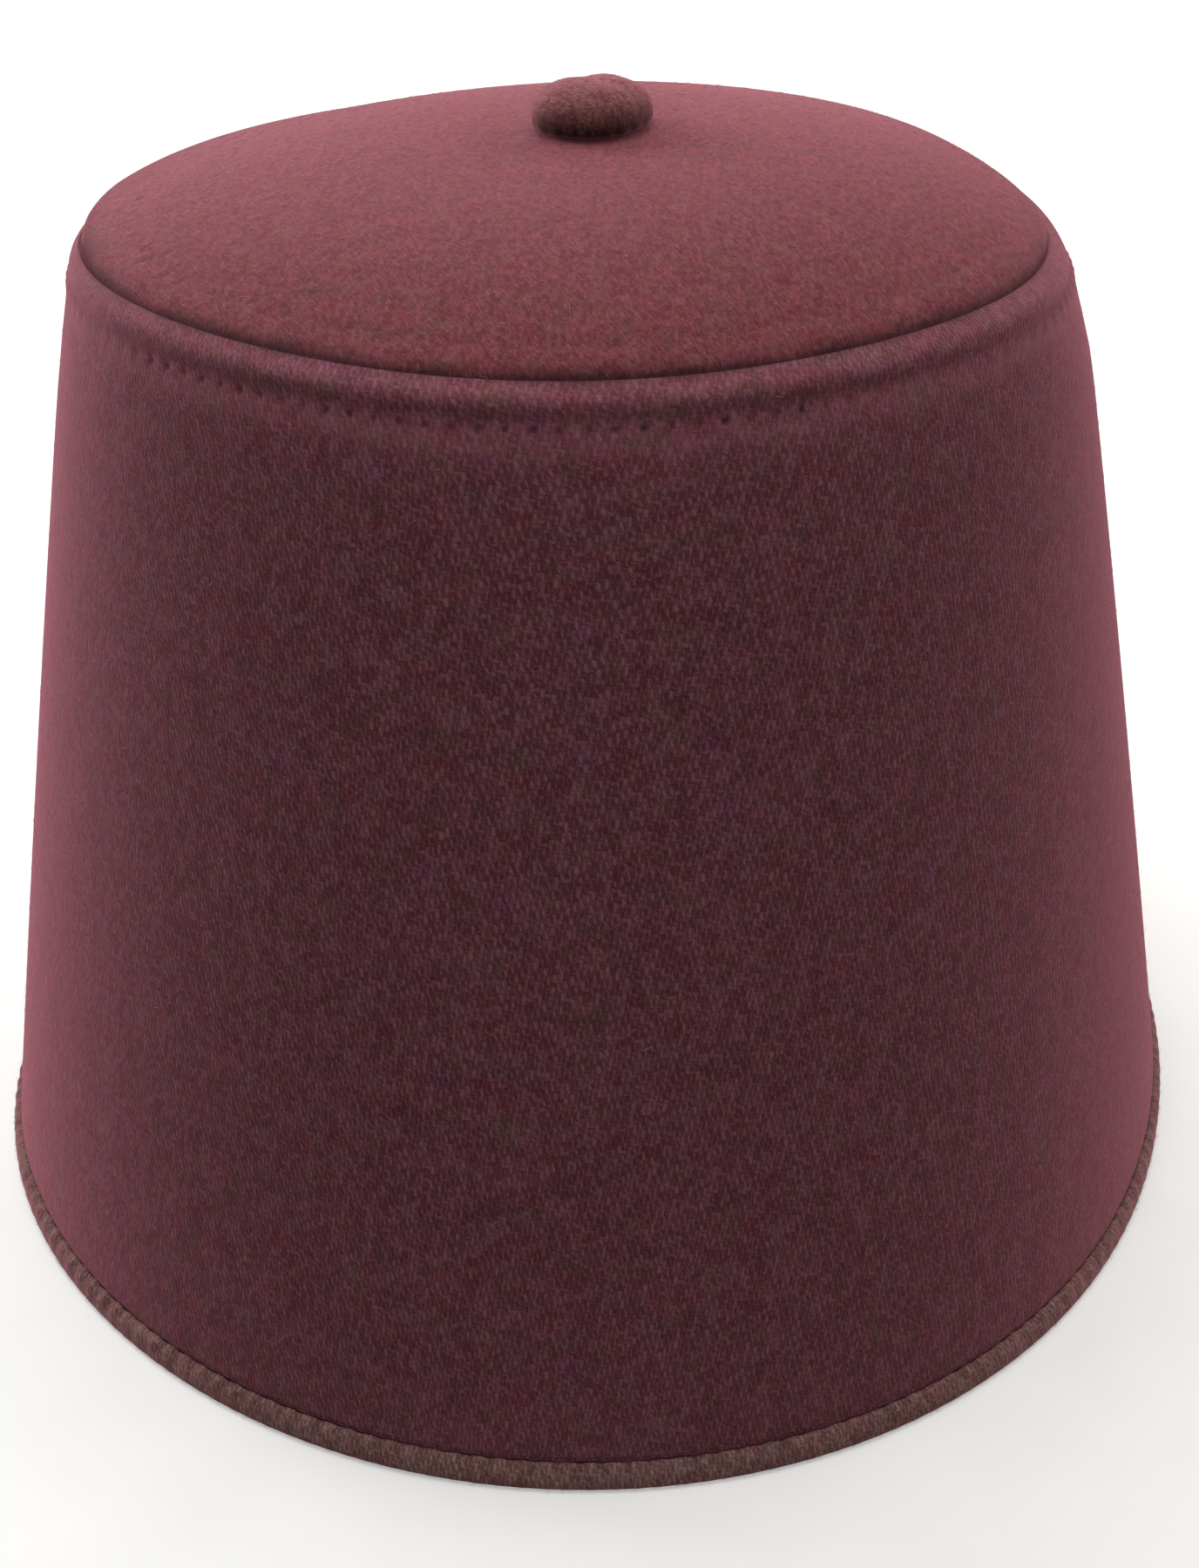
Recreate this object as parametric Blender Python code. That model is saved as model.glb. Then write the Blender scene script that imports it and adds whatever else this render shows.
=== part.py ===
"""A fez: a stiff tapered cloth crown with a domed tip, a bound bottom edge and a covered button.

The hat stands on its rim. +Z is up, the front is towards -Y, and the origin is the middle of the
bottom edge. Every piece is a stack of ovals that is extruded ring by ring. Lengths are in metres.
"""

import math
from typing import NamedTuple

import bmesh
import bpy
from mathutils import Vector

MM = 0.001

# The head oval at the bottom edge and the oval of the shoulder, measured outside.
BASE_HALF_WIDTH = 84.0 * MM
BASE_HALF_DEPTH = 103.5 * MM
SHOULDER_HALF_WIDTH = 65.7 * MM
SHOULDER_HALF_DEPTH = 68.3 * MM
SHOULDER_HEIGHT = 121.4 * MM
SIDE_BULGE = 0.4 * MM
TOP_LEAN = -1.1 * MM

# The cloth with its stiffening, and the running gap between two pieces that are sewn together.
WALL = 2.4 * MM
GAP = 0.3 * MM

# The strip between the row of stitches and the seam, and the pocket that the tip sits in.
SEAM_HEIGHT = 126.3 * MM
SEAM_INSET = 3.8 * MM
TIP_EDGE_DEPTH = 2.0 * MM
LEDGE_WIDTH = 1.8 * MM
LEDGE_THICKNESS = 1.6 * MM
LEDGE_FILLET = 2.0 * MM
LEDGE_SLOPE = 0.7

# The domed tip.
DOME_RISE = 8.8 * MM
DOME_POWER = 2.9
DOME_SHIFT = (2.4 * MM, 4.8 * MM)
TIP_ROLL_START = 0.6 * MM
TIP_STITCH_INSET = 6.4 * MM
TIP_STITCH_DEPTH = 0.35 * MM

# The binding is a folded strip, and the side is pressed thinner between its two legs.
BINDING_HEIGHT = 3.2 * MM
BINDING_CLOTH = 1.0 * MM
BINDING_PROUD = 0.7 * MM
BINDING_ROUND = 0.5 * MM

# The covered button.
BUTTON_RADIUS = 7.9 * MM
BUTTON_UPPER = 3.8 * MM
BUTTON_LOWER = 2.5 * MM
BUTTON_FOOT_RADIUS = 5.6 * MM
BUTTON_POWER = 2.4
BUTTON_PLACE = (1.5 * MM, 5.7 * MM)

SEGMENTS = 80
BUTTON_SEGMENTS = 36


class SideRow(NamedTuple):
    """A ring of the side's face: its height, and how far it is set in from the straight slope."""

    height: float
    inset: float


# The outer face of the side: the straight slope, the valley of the stitches, and the puffed strip
# that rolls over into the seam.
SIDE_ROWS = (
    SideRow(height=BINDING_HEIGHT + GAP, inset=0.0),
    SideRow(height=34.0 * MM, inset=0.0),
    SideRow(height=66.0 * MM, inset=0.0),
    SideRow(height=96.0 * MM, inset=0.0),
    SideRow(height=110.0 * MM, inset=0.05 * MM),
    SideRow(height=115.5 * MM, inset=0.2 * MM),
    SideRow(height=118.8 * MM, inset=0.45 * MM),
    SideRow(height=120.6 * MM, inset=0.8 * MM),
    SideRow(height=121.5 * MM, inset=0.75 * MM),
    SideRow(height=123.2 * MM, inset=1.05 * MM),
    SideRow(height=124.9 * MM, inset=1.95 * MM),
    SideRow(height=126.0 * MM, inset=3.05 * MM),
    SideRow(height=126.1 * MM, inset=3.55 * MM),
    SideRow(height=125.6 * MM, inset=SEAM_INSET),
)

# The rings of the inner face, from the seam allowance down to the binding.
INSIDE_HEIGHTS = (118.0 * MM, 96.0 * MM, 66.0 * MM, 34.0 * MM, BINDING_HEIGHT + GAP)

# The rings of the tip, as shares of its half width, from the roll at its edge to near the middle.
TIP_SHARES = (0.985, 0.955, 0.925, 0.898, 0.87, 0.8, 0.68, 0.53, 0.36, 0.18)
UNDERSIDE_SHARES = (0.9, 0.7, 0.45, 0.2)

# The rings of the button, from its foot up to its widest ring, and from there to its top.
BUTTON_LOWER_SHARES = (1.0, 0.88, 0.55)
BUTTON_UPPER_SHARES = (0.0, 0.3, 0.55, 0.75, 0.89, 0.97)


class Oval:
    """A level ring: its half width, half depth, middle and height."""

    def __init__(self, half_width, half_depth, height, middle=(0.0, 0.0)):
        self.half_width = half_width
        self.half_depth = half_depth
        self.height = height
        self.middle = middle

    def at(self, angle):
        x = self.middle[0] + self.half_width * math.cos(angle)
        y = self.middle[1] + self.half_depth * math.sin(angle)
        return Vector((x, y, self.height))


def mix(low, high, share):
    return low + (high - low) * share


def crown_oval(height, inset=0.0):
    """The side's sloping outer face at a height, set in by an inset."""
    share = height / SHOULDER_HEIGHT
    inside_the_rim = BINDING_PROUD * max(0.0, 1.0 - share)
    bulge = SIDE_BULGE * 4.0 * share * max(0.0, 1.0 - share)
    half_width = mix(BASE_HALF_WIDTH, SHOULDER_HALF_WIDTH, min(share, 1.0))
    half_depth = mix(BASE_HALF_DEPTH, SHOULDER_HALF_DEPTH, min(share, 1.0))
    change = bulge - inside_the_rim - inset
    lean = TOP_LEAN * min(share, 1.0)
    return Oval(half_width + change, half_depth + change, height, (lean, 0.0))


def first_ring(bm, oval, segments):
    made = bmesh.ops.create_circle(bm, segments=segments, radius=1.0)
    ring = list(made["verts"])
    place_ring(ring, oval)
    return ring


def place_ring(ring, oval):
    for index, vert in enumerate(ring):
        vert.co = oval.at(2.0 * math.pi * index / len(ring))


def ring_edges(bm, ring):
    return [bm.edges.get((ring[index - 1], vert)) for index, vert in enumerate(ring)]


def next_ring(bm, ring, oval):
    """Extrudes a ring's edges and lays the new ring on the next oval."""
    made = bmesh.ops.extrude_edge_only(bm, edges=ring_edges(bm, ring))
    fresh = {item for item in made["geom"] if isinstance(item, bmesh.types.BMVert)}
    new = []
    for vert in ring:
        others = [edge.other_vert(vert) for edge in vert.link_edges]
        new.append(next(other for other in others if other in fresh))
    place_ring(new, oval)
    return new


def skin(ovals, segments):
    """Extrudes through the ovals, and returns the mesh in the making with its two end rings."""
    bm = bmesh.new()
    first = first_ring(bm, ovals[0], segments)
    last = first
    for oval in ovals[1:]:
        last = next_ring(bm, last, oval)
    return bm, first, last


def close_to_loop(bm, first, last):
    bmesh.ops.bridge_loops(bm, edges=ring_edges(bm, first) + ring_edges(bm, last))


def close_to_point(bm, ring, point):
    """Extrudes a ring to a point, so that a fan of triangles closes the piece."""
    fan = next_ring(bm, ring, Oval(0.0, 0.0, point.z, (point.x, point.y)))
    bmesh.ops.pointmerge(bm, verts=fan, merge_co=point)


def cloth(name, colour, roughness):
    material = bpy.data.materials.new(name)
    material.use_nodes = True
    shader = material.node_tree.nodes["Principled BSDF"]
    shader.inputs["Base Color"].default_value = (*colour, 1.0)
    shader.inputs["Roughness"].default_value = roughness
    shader.inputs["Metallic"].default_value = 0.0
    shader.inputs["Sheen Weight"].default_value = 0.4
    return material


def finish(bm, name, material, sharp_angle=50.0):
    """Turns the bmesh into a named object, smooth except at its real edges."""
    bmesh.ops.recalc_face_normals(bm, faces=bm.faces)
    mesh = bpy.data.meshes.new(name)
    bm.to_mesh(mesh)
    bm.free()
    mesh.shade_smooth()
    mesh.set_sharp_from_angle(angle=math.radians(sharp_angle))
    mesh.materials.append(material)
    piece = bpy.data.objects.new(name, mesh)
    bpy.context.scene.collection.objects.link(piece)
    return piece


def side_outside():
    return [crown_oval(row.height, row.inset) for row in SIDE_ROWS]


def side_pocket():
    """The turned-in edge: down beside the tip, then in below it, which is the seam allowance."""
    floor = SEAM_HEIGHT - TIP_EDGE_DEPTH - GAP
    underside = floor - LEDGE_THICKNESS
    inner = SEAM_INSET + LEDGE_WIDTH
    return [
        crown_oval(floor, SEAM_INSET),
        crown_oval(floor, inner),
        crown_oval(underside, inner),
        crown_oval(underside - LEDGE_FILLET, mix(inner, WALL, LEDGE_SLOPE)),
    ]


def side_inside():
    return [crown_oval(height, WALL) for height in INSIDE_HEIGHTS]


def side_pressed_edge():
    """The bottom edge, pressed thinner where the binding grips it."""
    top = BINDING_HEIGHT + GAP
    bottom = BINDING_CLOTH + GAP
    outer = BINDING_CLOTH + GAP - BINDING_PROUD
    inner = WALL - outer
    places = ((top, inner), (bottom, inner), (bottom, outer), (top, outer))
    return [crown_oval(height, inset) for height, inset in places]


def make_crown_side():
    ovals = side_outside() + side_pocket() + side_inside() + side_pressed_edge()
    bm, first, last = skin(ovals, SEGMENTS)
    close_to_loop(bm, first, last)
    return finish(bm, "crown_side", cloth("side cloth", (0.085, 0.022, 0.03), 0.9))


def tip_oval(share, lower=0.0):
    """A ring of the domed tip at a share of its half width, a thickness below its face."""
    edge = crown_oval(SEAM_HEIGHT, SEAM_INSET + GAP)
    rise = DOME_RISE * (1.0 - share**DOME_POWER)
    moved = (1.0 - share) ** 2
    middle = (edge.middle[0] + DOME_SHIFT[0] * moved, DOME_SHIFT[1] * moved)
    height = SEAM_HEIGHT + rise - lower
    return Oval(edge.half_width * share, edge.half_depth * share, height, middle)


def stitch_dip(share):
    """How deep the row of stitches pulls the tip's cloth down."""
    row = 1.0 - TIP_STITCH_INSET / SHOULDER_HALF_WIDTH
    return TIP_STITCH_DEPTH if abs(share - row) < 0.01 else 0.0


def tip_ovals():
    floor = SEAM_HEIGHT - TIP_EDGE_DEPTH
    rim = [tip_oval(1.0), tip_oval(1.0)]
    rim[0].height = floor
    rim[1].height = SEAM_HEIGHT - TIP_ROLL_START
    top = [tip_oval(share, stitch_dip(share)) for share in TIP_SHARES]
    below = [tip_oval(share, WALL) for share in UNDERSIDE_SHARES]
    below[0].height = floor
    return list(reversed(below)) + rim + top


def make_crown_tip():
    bm, first, last = skin(tip_ovals(), SEGMENTS)
    close_to_point(bm, first, tip_middle(WALL))
    close_to_point(bm, last, tip_middle(0.0))
    return finish(bm, "crown_tip", cloth("tip cloth", (0.12, 0.035, 0.045), 0.9))


def tip_middle(lower):
    middle = tip_oval(0.0, lower)
    return Vector((*middle.middle, middle.height))


def binding_ovals():
    """The strip's cross-section: up its outer leg, round the pressed edge, and back below."""
    outer = -BINDING_PROUD
    inner = WALL + BINDING_PROUD
    top = BINDING_HEIGHT
    soft = BINDING_ROUND
    places = (
        (0.0, outer + soft),
        (soft, outer),
        (top - soft, outer),
        (top, outer + soft),
        (top, outer + BINDING_CLOTH),
        (BINDING_CLOTH, outer + BINDING_CLOTH),
        (BINDING_CLOTH, inner - BINDING_CLOTH),
        (top, inner - BINDING_CLOTH),
        (top, inner - soft),
        (top - soft, inner),
        (soft, inner),
        (0.0, inner - soft),
    )
    return [crown_oval(height, inset) for height, inset in places]


def make_edge_binding():
    bm, first, last = skin(binding_ovals(), SEGMENTS)
    close_to_loop(bm, first, last)
    return finish(bm, "edge_binding", cloth("binding cloth", (0.13, 0.05, 0.05), 0.9), 60.0)


def button_upper(share):
    """A ring of the button's dome at a share of the way from its widest ring to its top."""
    radius = BUTTON_RADIUS * (1.0 - share**BUTTON_POWER) ** (1.0 / BUTTON_POWER)
    return Oval(radius, radius, button_foot() + BUTTON_LOWER + BUTTON_UPPER * share, BUTTON_PLACE)


def button_lower(share):
    """A ring of the tucked-in lower side at a share of the way from the widest ring to the foot."""
    tuck = (BUTTON_RADIUS - BUTTON_FOOT_RADIUS) * (1.0 - math.sqrt(1.0 - share**2))
    radius = BUTTON_RADIUS - tuck
    return Oval(radius, radius, button_foot() + BUTTON_LOWER * (1.0 - share), BUTTON_PLACE)


def button_foot():
    return tip_middle(0.0).z + GAP


def make_top_button():
    ovals = [button_lower(share) for share in BUTTON_LOWER_SHARES]
    ovals += [button_upper(share) for share in BUTTON_UPPER_SHARES]
    bm, first, last = skin(ovals, BUTTON_SEGMENTS)
    foot = Vector((*BUTTON_PLACE, button_foot()))
    top = foot + Vector((0.0, 0.0, BUTTON_LOWER + BUTTON_UPPER))
    close_to_point(bm, first, foot)
    close_to_point(bm, last, top)
    return finish(bm, "top_button", cloth("button cloth", (0.1, 0.03, 0.035), 0.9))


def clear_scene():
    for piece in list(bpy.data.objects):
        bpy.data.objects.remove(piece)


clear_scene()
make_crown_side()
make_crown_tip()
make_edge_binding()
make_top_button()
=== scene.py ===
# %% [markdown]
# A fez, dressed from its solids.
# The hat is five sewn things: a tapered side of stiffened wool cloth, a domed tip set into its
# turned-in top, a row of stitches on each side of that seam, a narrow folded binding round the
# bottom edge, and a covered button. The solids hold the sizes. This script lays the cloth over
# them: it models each piece again at the fineness of a stitch, gives it its own weave, and puts
# the camera and the lights where the photograph had them.

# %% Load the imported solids
import math
from typing import NamedTuple

import bmesh
import bpy
import numpy as np
from mathutils import Matrix, Vector


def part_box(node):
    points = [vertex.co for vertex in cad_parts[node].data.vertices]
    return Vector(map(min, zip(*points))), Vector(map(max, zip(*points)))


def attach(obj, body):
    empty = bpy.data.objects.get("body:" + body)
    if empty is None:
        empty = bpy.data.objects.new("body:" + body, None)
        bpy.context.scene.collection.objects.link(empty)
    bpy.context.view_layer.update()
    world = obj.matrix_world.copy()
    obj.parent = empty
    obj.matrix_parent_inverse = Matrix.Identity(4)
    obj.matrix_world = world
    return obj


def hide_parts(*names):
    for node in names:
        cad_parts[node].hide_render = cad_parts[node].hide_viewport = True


MM = 0.001

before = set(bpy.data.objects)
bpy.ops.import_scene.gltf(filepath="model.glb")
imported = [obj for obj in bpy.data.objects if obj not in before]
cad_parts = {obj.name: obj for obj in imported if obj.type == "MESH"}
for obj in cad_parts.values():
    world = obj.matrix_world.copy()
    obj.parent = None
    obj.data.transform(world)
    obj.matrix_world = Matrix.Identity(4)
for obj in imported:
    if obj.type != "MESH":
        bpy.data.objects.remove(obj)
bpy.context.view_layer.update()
for solid in sorted(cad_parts):
    low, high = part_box(solid)
    print(f"{solid}: {', '.join(f'{size / MM:.1f}' for size in high - low)} mm")

# %% [markdown]
# The camera comes first, because every later choice is judged through it. The photograph looks
# down on the hat from in front, close enough for the sides to splay a little. Its angle, distance
# and lens were worked out from the outline and from the oval of the seam.

# %% Put the camera at the photograph's angle
LENS = 68.7
LOOK_DOWN = math.radians(27.5)
CAMERA_ROLL = math.radians(-0.68)
CAMERA_DISTANCE = 429.9 * MM
FILM_HEIGHT = 36.0
AIM = Vector((1.2, 0.0, 41.8)) * MM


def add_camera():
    camera = bpy.data.objects.new("camera", bpy.data.cameras.new("camera"))
    bpy.context.scene.collection.objects.link(camera)
    camera.data.lens = LENS
    camera.data.sensor_fit = "VERTICAL"
    camera.data.sensor_height = FILM_HEIGHT
    camera.data.clip_start = 10.0 * MM
    camera.data.dof.use_dof = False
    turned = Matrix.Rotation(math.radians(90.0) - LOOK_DOWN, 4, "X")
    rolled = Matrix.Rotation(CAMERA_ROLL, 4, "Z")
    camera.matrix_world = turned @ rolled
    camera.location = AIM - Vector((0.0, math.cos(LOOK_DOWN), -math.sin(LOOK_DOWN))) * CAMERA_DISTANCE
    bpy.context.scene.camera = camera
    return camera


camera = add_camera()
print("camera at", [round(value / MM) for value in camera.location], "mm")

# %% [markdown]
# Every piece of this hat is a stack of level ovals. The side's outer face is a straight slope from
# the head oval at the bottom to a rounder oval at the shoulder, and each ring of cloth lies on that
# slope or a little inside it. So one function gives the oval at a height and an inset, from the
# same driving sizes as the solids.

# %% The ovals of the crown
BASE_HALF_WIDTH = 84.0 * MM
BASE_HALF_DEPTH = 103.5 * MM
SHOULDER_HALF_WIDTH = 65.7 * MM
SHOULDER_HALF_DEPTH = 68.3 * MM
SHOULDER_HEIGHT = 121.4 * MM
SIDE_BULGE = 0.4 * MM
TOP_LEAN = -1.1 * MM
WALL = 2.4 * MM
GAP = 0.3 * MM
BINDING_HEIGHT = 3.2 * MM
BINDING_PROUD = 0.7 * MM


class Ring(NamedTuple):
    """A level oval that a row of vertices lies on."""

    half_width: float
    half_depth: float
    height: float
    middle_x: float = 0.0
    middle_y: float = 0.0


def mix(low, high, share):
    return low + (high - low) * share


def ease(low, high, value):
    """Goes smoothly from 0 at the low value to 1 at the high one."""
    share = np.clip((value - low) / (high - low), 0.0, 1.0)
    return share * share * (3.0 - 2.0 * share)


def crown_ring(height, inset=0.0):
    """The side's sloping outer face at a height, set in by an inset."""
    share = height / SHOULDER_HEIGHT
    inside_the_rim = BINDING_PROUD * max(0.0, 1.0 - share)
    bulge = SIDE_BULGE * 4.0 * share * max(0.0, 1.0 - share)
    change = bulge - inside_the_rim - inset
    half_width = mix(BASE_HALF_WIDTH, SHOULDER_HALF_WIDTH, min(share, 1.0)) + change
    half_depth = mix(BASE_HALF_DEPTH, SHOULDER_HALF_DEPTH, min(share, 1.0)) + change
    return Ring(half_width, half_depth, height, TOP_LEAN * min(share, 1.0))


print("shoulder oval:", [round(size / MM, 1) for size in crown_ring(SHOULDER_HEIGHT)[:3]], "mm")

# %% [markdown]
# A section through the cloth is drawn as a few rows, and a smooth curve through them gives as many
# rings as the piece needs: far apart on the plain wall, and a third of a millimetre apart where
# stitches pull the cloth. Walking along the curve by length keeps the faces even.


# %% Draw a smooth section and walk along it
def curve_through(rows, steps=24):
    """Points of a smooth curve through the rows (Catmull and Rom's blend of four neighbours)."""
    rows = np.array(rows, float)
    ends = np.vstack([2.0 * rows[0] - rows[1], rows, 2.0 * rows[-1] - rows[-2]])
    shares = np.linspace(0.0, 1.0, steps, endpoint=False)[:, None]
    points = []
    for a, b, c, d in zip(ends, ends[1:], ends[2:], ends[3:]):
        bend = 2.0 * a - 5.0 * b + 4.0 * c - d
        twist = 3.0 * b - a - 3.0 * c + d
        points.append(0.5 * (2.0 * b + (c - a) * shares + bend * shares**2 + twist * shares**3))
    return np.vstack(points + [rows[-1:]])


def walk(points, spacing_at):
    """Points along a curve, as far apart as spacing_at says for the place that the walk is at."""
    steps = np.linalg.norm(np.diff(points, axis=0), axis=1)
    distance = np.concatenate([[0.0], np.cumsum(steps)])
    places = [0.0]
    while places[-1] < distance[-1]:
        here = [np.interp(places[-1], distance, column) for column in points.T]
        places.append(places[-1] + spacing_at(*here))
    places = np.array(places) * distance[-1] / places[-1]
    return np.column_stack([np.interp(places, distance, column) for column in points.T])


# %% [markdown]
# By hand, such a body is made from one circle: extrude its edge, move the new edge up, scale it to
# the next oval, and so on. These helpers do just that. Each new row of vertices also gets its row
# number as an attribute, so that later steps can find a row again.

# %% Helpers that extrude a circle ring by ring
ROW = "row"


def deselect_everything():
    if bpy.context.object and bpy.context.object.mode != "OBJECT":
        bpy.ops.object.mode_set(mode="OBJECT")
    bpy.ops.object.select_all(action="DESELECT")


def number_selected_row(number):
    bm = bmesh.from_edit_mesh(bpy.context.object.data)
    layer = bm.verts.layers.float[ROW]
    for vert in bm.verts:
        if vert.select:
            vert[layer] = number
    bmesh.update_edit_mesh(bpy.context.object.data)


def start_ring(name, ring, segments):
    """Adds a circle as a new piece, in edit mode, and lays it on its first oval."""
    deselect_everything()
    bpy.ops.mesh.primitive_circle_add(vertices=segments, radius=1.0)
    piece = bpy.context.object
    piece.name = piece.data.name = name
    piece.data.attributes.new(ROW, "FLOAT", "POINT")
    bpy.ops.object.mode_set(mode="EDIT")
    bpy.ops.mesh.select_mode(type="EDGE")
    bpy.ops.mesh.select_all(action="SELECT")
    origin = (0.0, 0.0, 0.0)
    bpy.ops.transform.resize(value=(ring.half_width, ring.half_depth, 1.0), center_override=origin)
    bpy.ops.transform.translate(value=(ring.middle_x, ring.middle_y, ring.height))
    number_selected_row(0)
    return piece


def extrude_ring(before, after, number):
    """Extrudes the selected edge loop, and moves and scales it from one oval to the next."""
    step = Vector(after[2:]) - Vector(before[2:])
    move = (step[1], step[2], step[0])
    bpy.ops.mesh.extrude_region_move(TRANSFORM_OT_translate={"value": move})
    grow = (after.half_width / before.half_width, after.half_depth / before.half_depth, 1.0)
    middle = (after.middle_x, after.middle_y, after.height)
    bpy.ops.transform.resize(value=grow, center_override=middle)
    number_selected_row(number)


def extrude_body(name, rings, segments):
    piece = start_ring(name, rings[0], segments)
    for number, (before, after) in enumerate(zip(rings, rings[1:]), 1):
        extrude_ring(before, after, number)
    return piece


# %% Helpers that select rows, close a body and make columns finer
EXTRA_CUTS = 2


def select_edges(wanted):
    """Selects the edges whose two row numbers pass a test."""
    bpy.ops.mesh.select_all(action="DESELECT")
    bm = bmesh.from_edit_mesh(bpy.context.object.data)
    layer = bm.verts.layers.float[ROW]
    for edge in bm.edges:
        if wanted(edge.verts[0][layer], edge.verts[1][layer]):
            edge.select_set(True)
    bmesh.update_edit_mesh(bpy.context.object.data)


def close_to_loop(last):
    """Bridges the last row back to the first."""
    select_edges(lambda one, other: one == other and one in (0, last))
    bpy.ops.mesh.bridge_edge_loops()


def close_to_point(row):
    """Closes a row with a fan of triangles to its middle."""
    select_edges(lambda one, other: one == other == row)
    bpy.ops.mesh.extrude_region_move(TRANSFORM_OT_translate={"value": (0.0, 0.0, 0.0)})
    bpy.ops.mesh.merge(type="CENTER")


def cut_columns(first, last):
    """Cuts the level edges of the rows from first to last, so that each column becomes three."""
    select_edges(lambda one, other: one == other and first <= one <= last)
    bpy.ops.mesh.subdivide(number_cuts=EXTRA_CUTS)


# %% [markdown]
# Edit mode numbers vertices and faces anew at each run, and later the hairs are scattered by those
# numbers. So a body that is finished has its mesh numbered again, row by row and round from the
# front, and the same script then gives the same hat each time.


# %% Helpers that finish a body
def vertex_places(piece):
    places = np.empty(len(piece.data.vertices) * 3, np.float32)
    piece.data.vertices.foreach_get("co", places)
    return places.reshape(-1, 3).astype(float)


def row_numbers(piece):
    rows = np.empty(len(piece.data.vertices), np.float32)
    piece.data.attributes[ROW].data.foreach_get("value", rows)
    return rows.round().astype(int)


FIRST_ANGLE = -0.0007
POLE_SIZE = 1e-6
POLE_DIGITS = 7


def put_in_order(piece):
    """Numbers the vertices by row and angle, and the faces by their vertices."""
    rows, places = row_numbers(piece), vertex_places(piece)
    middles = np.array([places[rows == row].mean(axis=0) for row in range(rows.max() + 1)])
    across, back = (places - middles[rows])[:, :2].T
    angles = (np.arctan2(across, -back) - FIRST_ANGLE) % (2.0 * math.pi)
    pole = np.hypot(across, back) < POLE_SIZE
    places[pole] = places[pole].round(POLE_DIGITS)
    order = np.lexsort((np.where(pole, -1.0, angles), rows))
    number = np.argsort(order)
    faces = []
    for face in piece.data.polygons:
        corners = number[list(face.vertices)].tolist()
        first = corners.index(min(corners))
        faces.append(corners[first:] + corners[:first])
    piece.data.clear_geometry()
    piece.data.from_pydata(places[order], [], sorted(faces))
    layer = piece.data.attributes.new(ROW, "FLOAT", "POINT")
    layer.data.foreach_set("value", rows[order].astype(np.float32))


def triangles(piece):
    return sum(len(face.vertices) - 2 for face in piece.data.polygons)


SHARP_ANGLE = math.radians(60.0)


def leave_edit_mode(piece):
    bpy.ops.mesh.select_all(action="SELECT")
    bpy.ops.mesh.normals_make_consistent(inside=False)
    bpy.ops.object.mode_set(mode="OBJECT")
    put_in_order(piece)
    bpy.ops.object.shade_smooth_by_angle(angle=SHARP_ANGLE)
    print(f"{piece.name}: {triangles(piece)} triangles")
    return piece


# %% [markdown]
# The side. Up to the shoulder it is a plain wall that was glued to its stiffening over a block.
# Near the top it leans in, dips into the row of stitches, puffs out again between the row and the
# seam, and rolls down into the seam. From there the section goes round the turned-in edge that
# carries the tip, down the inside, and up into the folded binding.

# %% The section of the side
SEAM_HEIGHT = 126.3 * MM
SEAM_INSET = 3.8 * MM
TIP_EDGE_DEPTH = 2.0 * MM
LEDGE_WIDTH = 1.8 * MM
LEDGE_THICKNESS = 1.6 * MM
LEDGE_FILLET = 2.0 * MM
LEDGE_SLOPE = 0.7
BINDING_CLOTH = 1.0 * MM
INSIDE_TOP = 118.0 * MM
INSIDE_ROWS_MM = np.linspace(112.0, 3.5, 14)

# Rows of the outer face: the height, and the inset from the straight slope, in mm.
SIDE_WALL = ((3.5, 0.22), (4.6, 0.08), (7.0, 0.0), (36.0, 0.0), (72.0, 0.0), (104.0, 0.0), (111.0, 0.1))
SIDE_DIP = ((116.0, 0.2), (119.0, 0.32), (120.5, 0.4), (121.4, 0.52), (122.1, 0.74), (122.7, 0.82))
SIDE_LIP = ((123.4, 0.7), (124.2, 0.8), (124.9, 1.3), (125.4, 2.0), (125.9, 2.8), (126.25, 3.4))
SIDE_ROWS = SIDE_WALL + SIDE_DIP + SIDE_LIP + ((126.3, 3.64), (126.0, 3.8))
# Up to each height, the rings lie this far apart. Both are in mm.
SIDE_SPACINGS = ((6.0, 0.6), (110.0, 3.5), (117.0, 1.0), (math.inf, 0.36))


def side_spacing(height, inset):
    return next(spacing for top, spacing in SIDE_SPACINGS if height < top)


def side_section():
    """The rows all round the cloth, in metres, and the count of those on the outer face."""
    outside = walk(curve_through(SIDE_ROWS), side_spacing) * MM
    floor = SEAM_HEIGHT - TIP_EDGE_DEPTH - GAP
    underside = floor - LEDGE_THICKNESS
    inner = SEAM_INSET + LEDGE_WIDTH
    fold = [
        (floor, SEAM_INSET),
        (floor, inner),
        (underside, inner),
        (underside - LEDGE_FILLET, mix(inner, WALL, LEDGE_SLOPE)),
        (INSIDE_TOP, WALL),
    ]
    inside = [(height * MM, WALL) for height in INSIDE_ROWS_MM]
    pressed = BINDING_CLOTH + GAP - BINDING_PROUD
    top = BINDING_HEIGHT + GAP
    edge = BINDING_CLOTH + GAP
    hem = [(top, WALL - pressed), (edge, WALL - pressed), (edge, pressed), (top, pressed)]
    return list(map(tuple, outside)) + fold + inside + hem, len(outside)


side_rows, side_outer_count = side_section()
side_rings = [crown_ring(height, inset) for height, inset in side_rows]
print(len(side_rings), "rings,", side_outer_count, "of them on the outer face")

# %% Extrude the side
SIDE_STITCHES = 132
SIDE_COLUMNS = 3 * SIDE_STITCHES
FINE_BAND_START = 117.0 * MM
BACK_BAND = 1.5 * MM

side = extrude_body("side_cloth", side_rings, SIDE_COLUMNS)
close_to_loop(len(side_rings) - 1)
fine_rows = [n for n in range(side_outer_count) if side_rows[n][0] > FINE_BAND_START]
cut_columns(fine_rows[0], fine_rows[-1])


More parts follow.
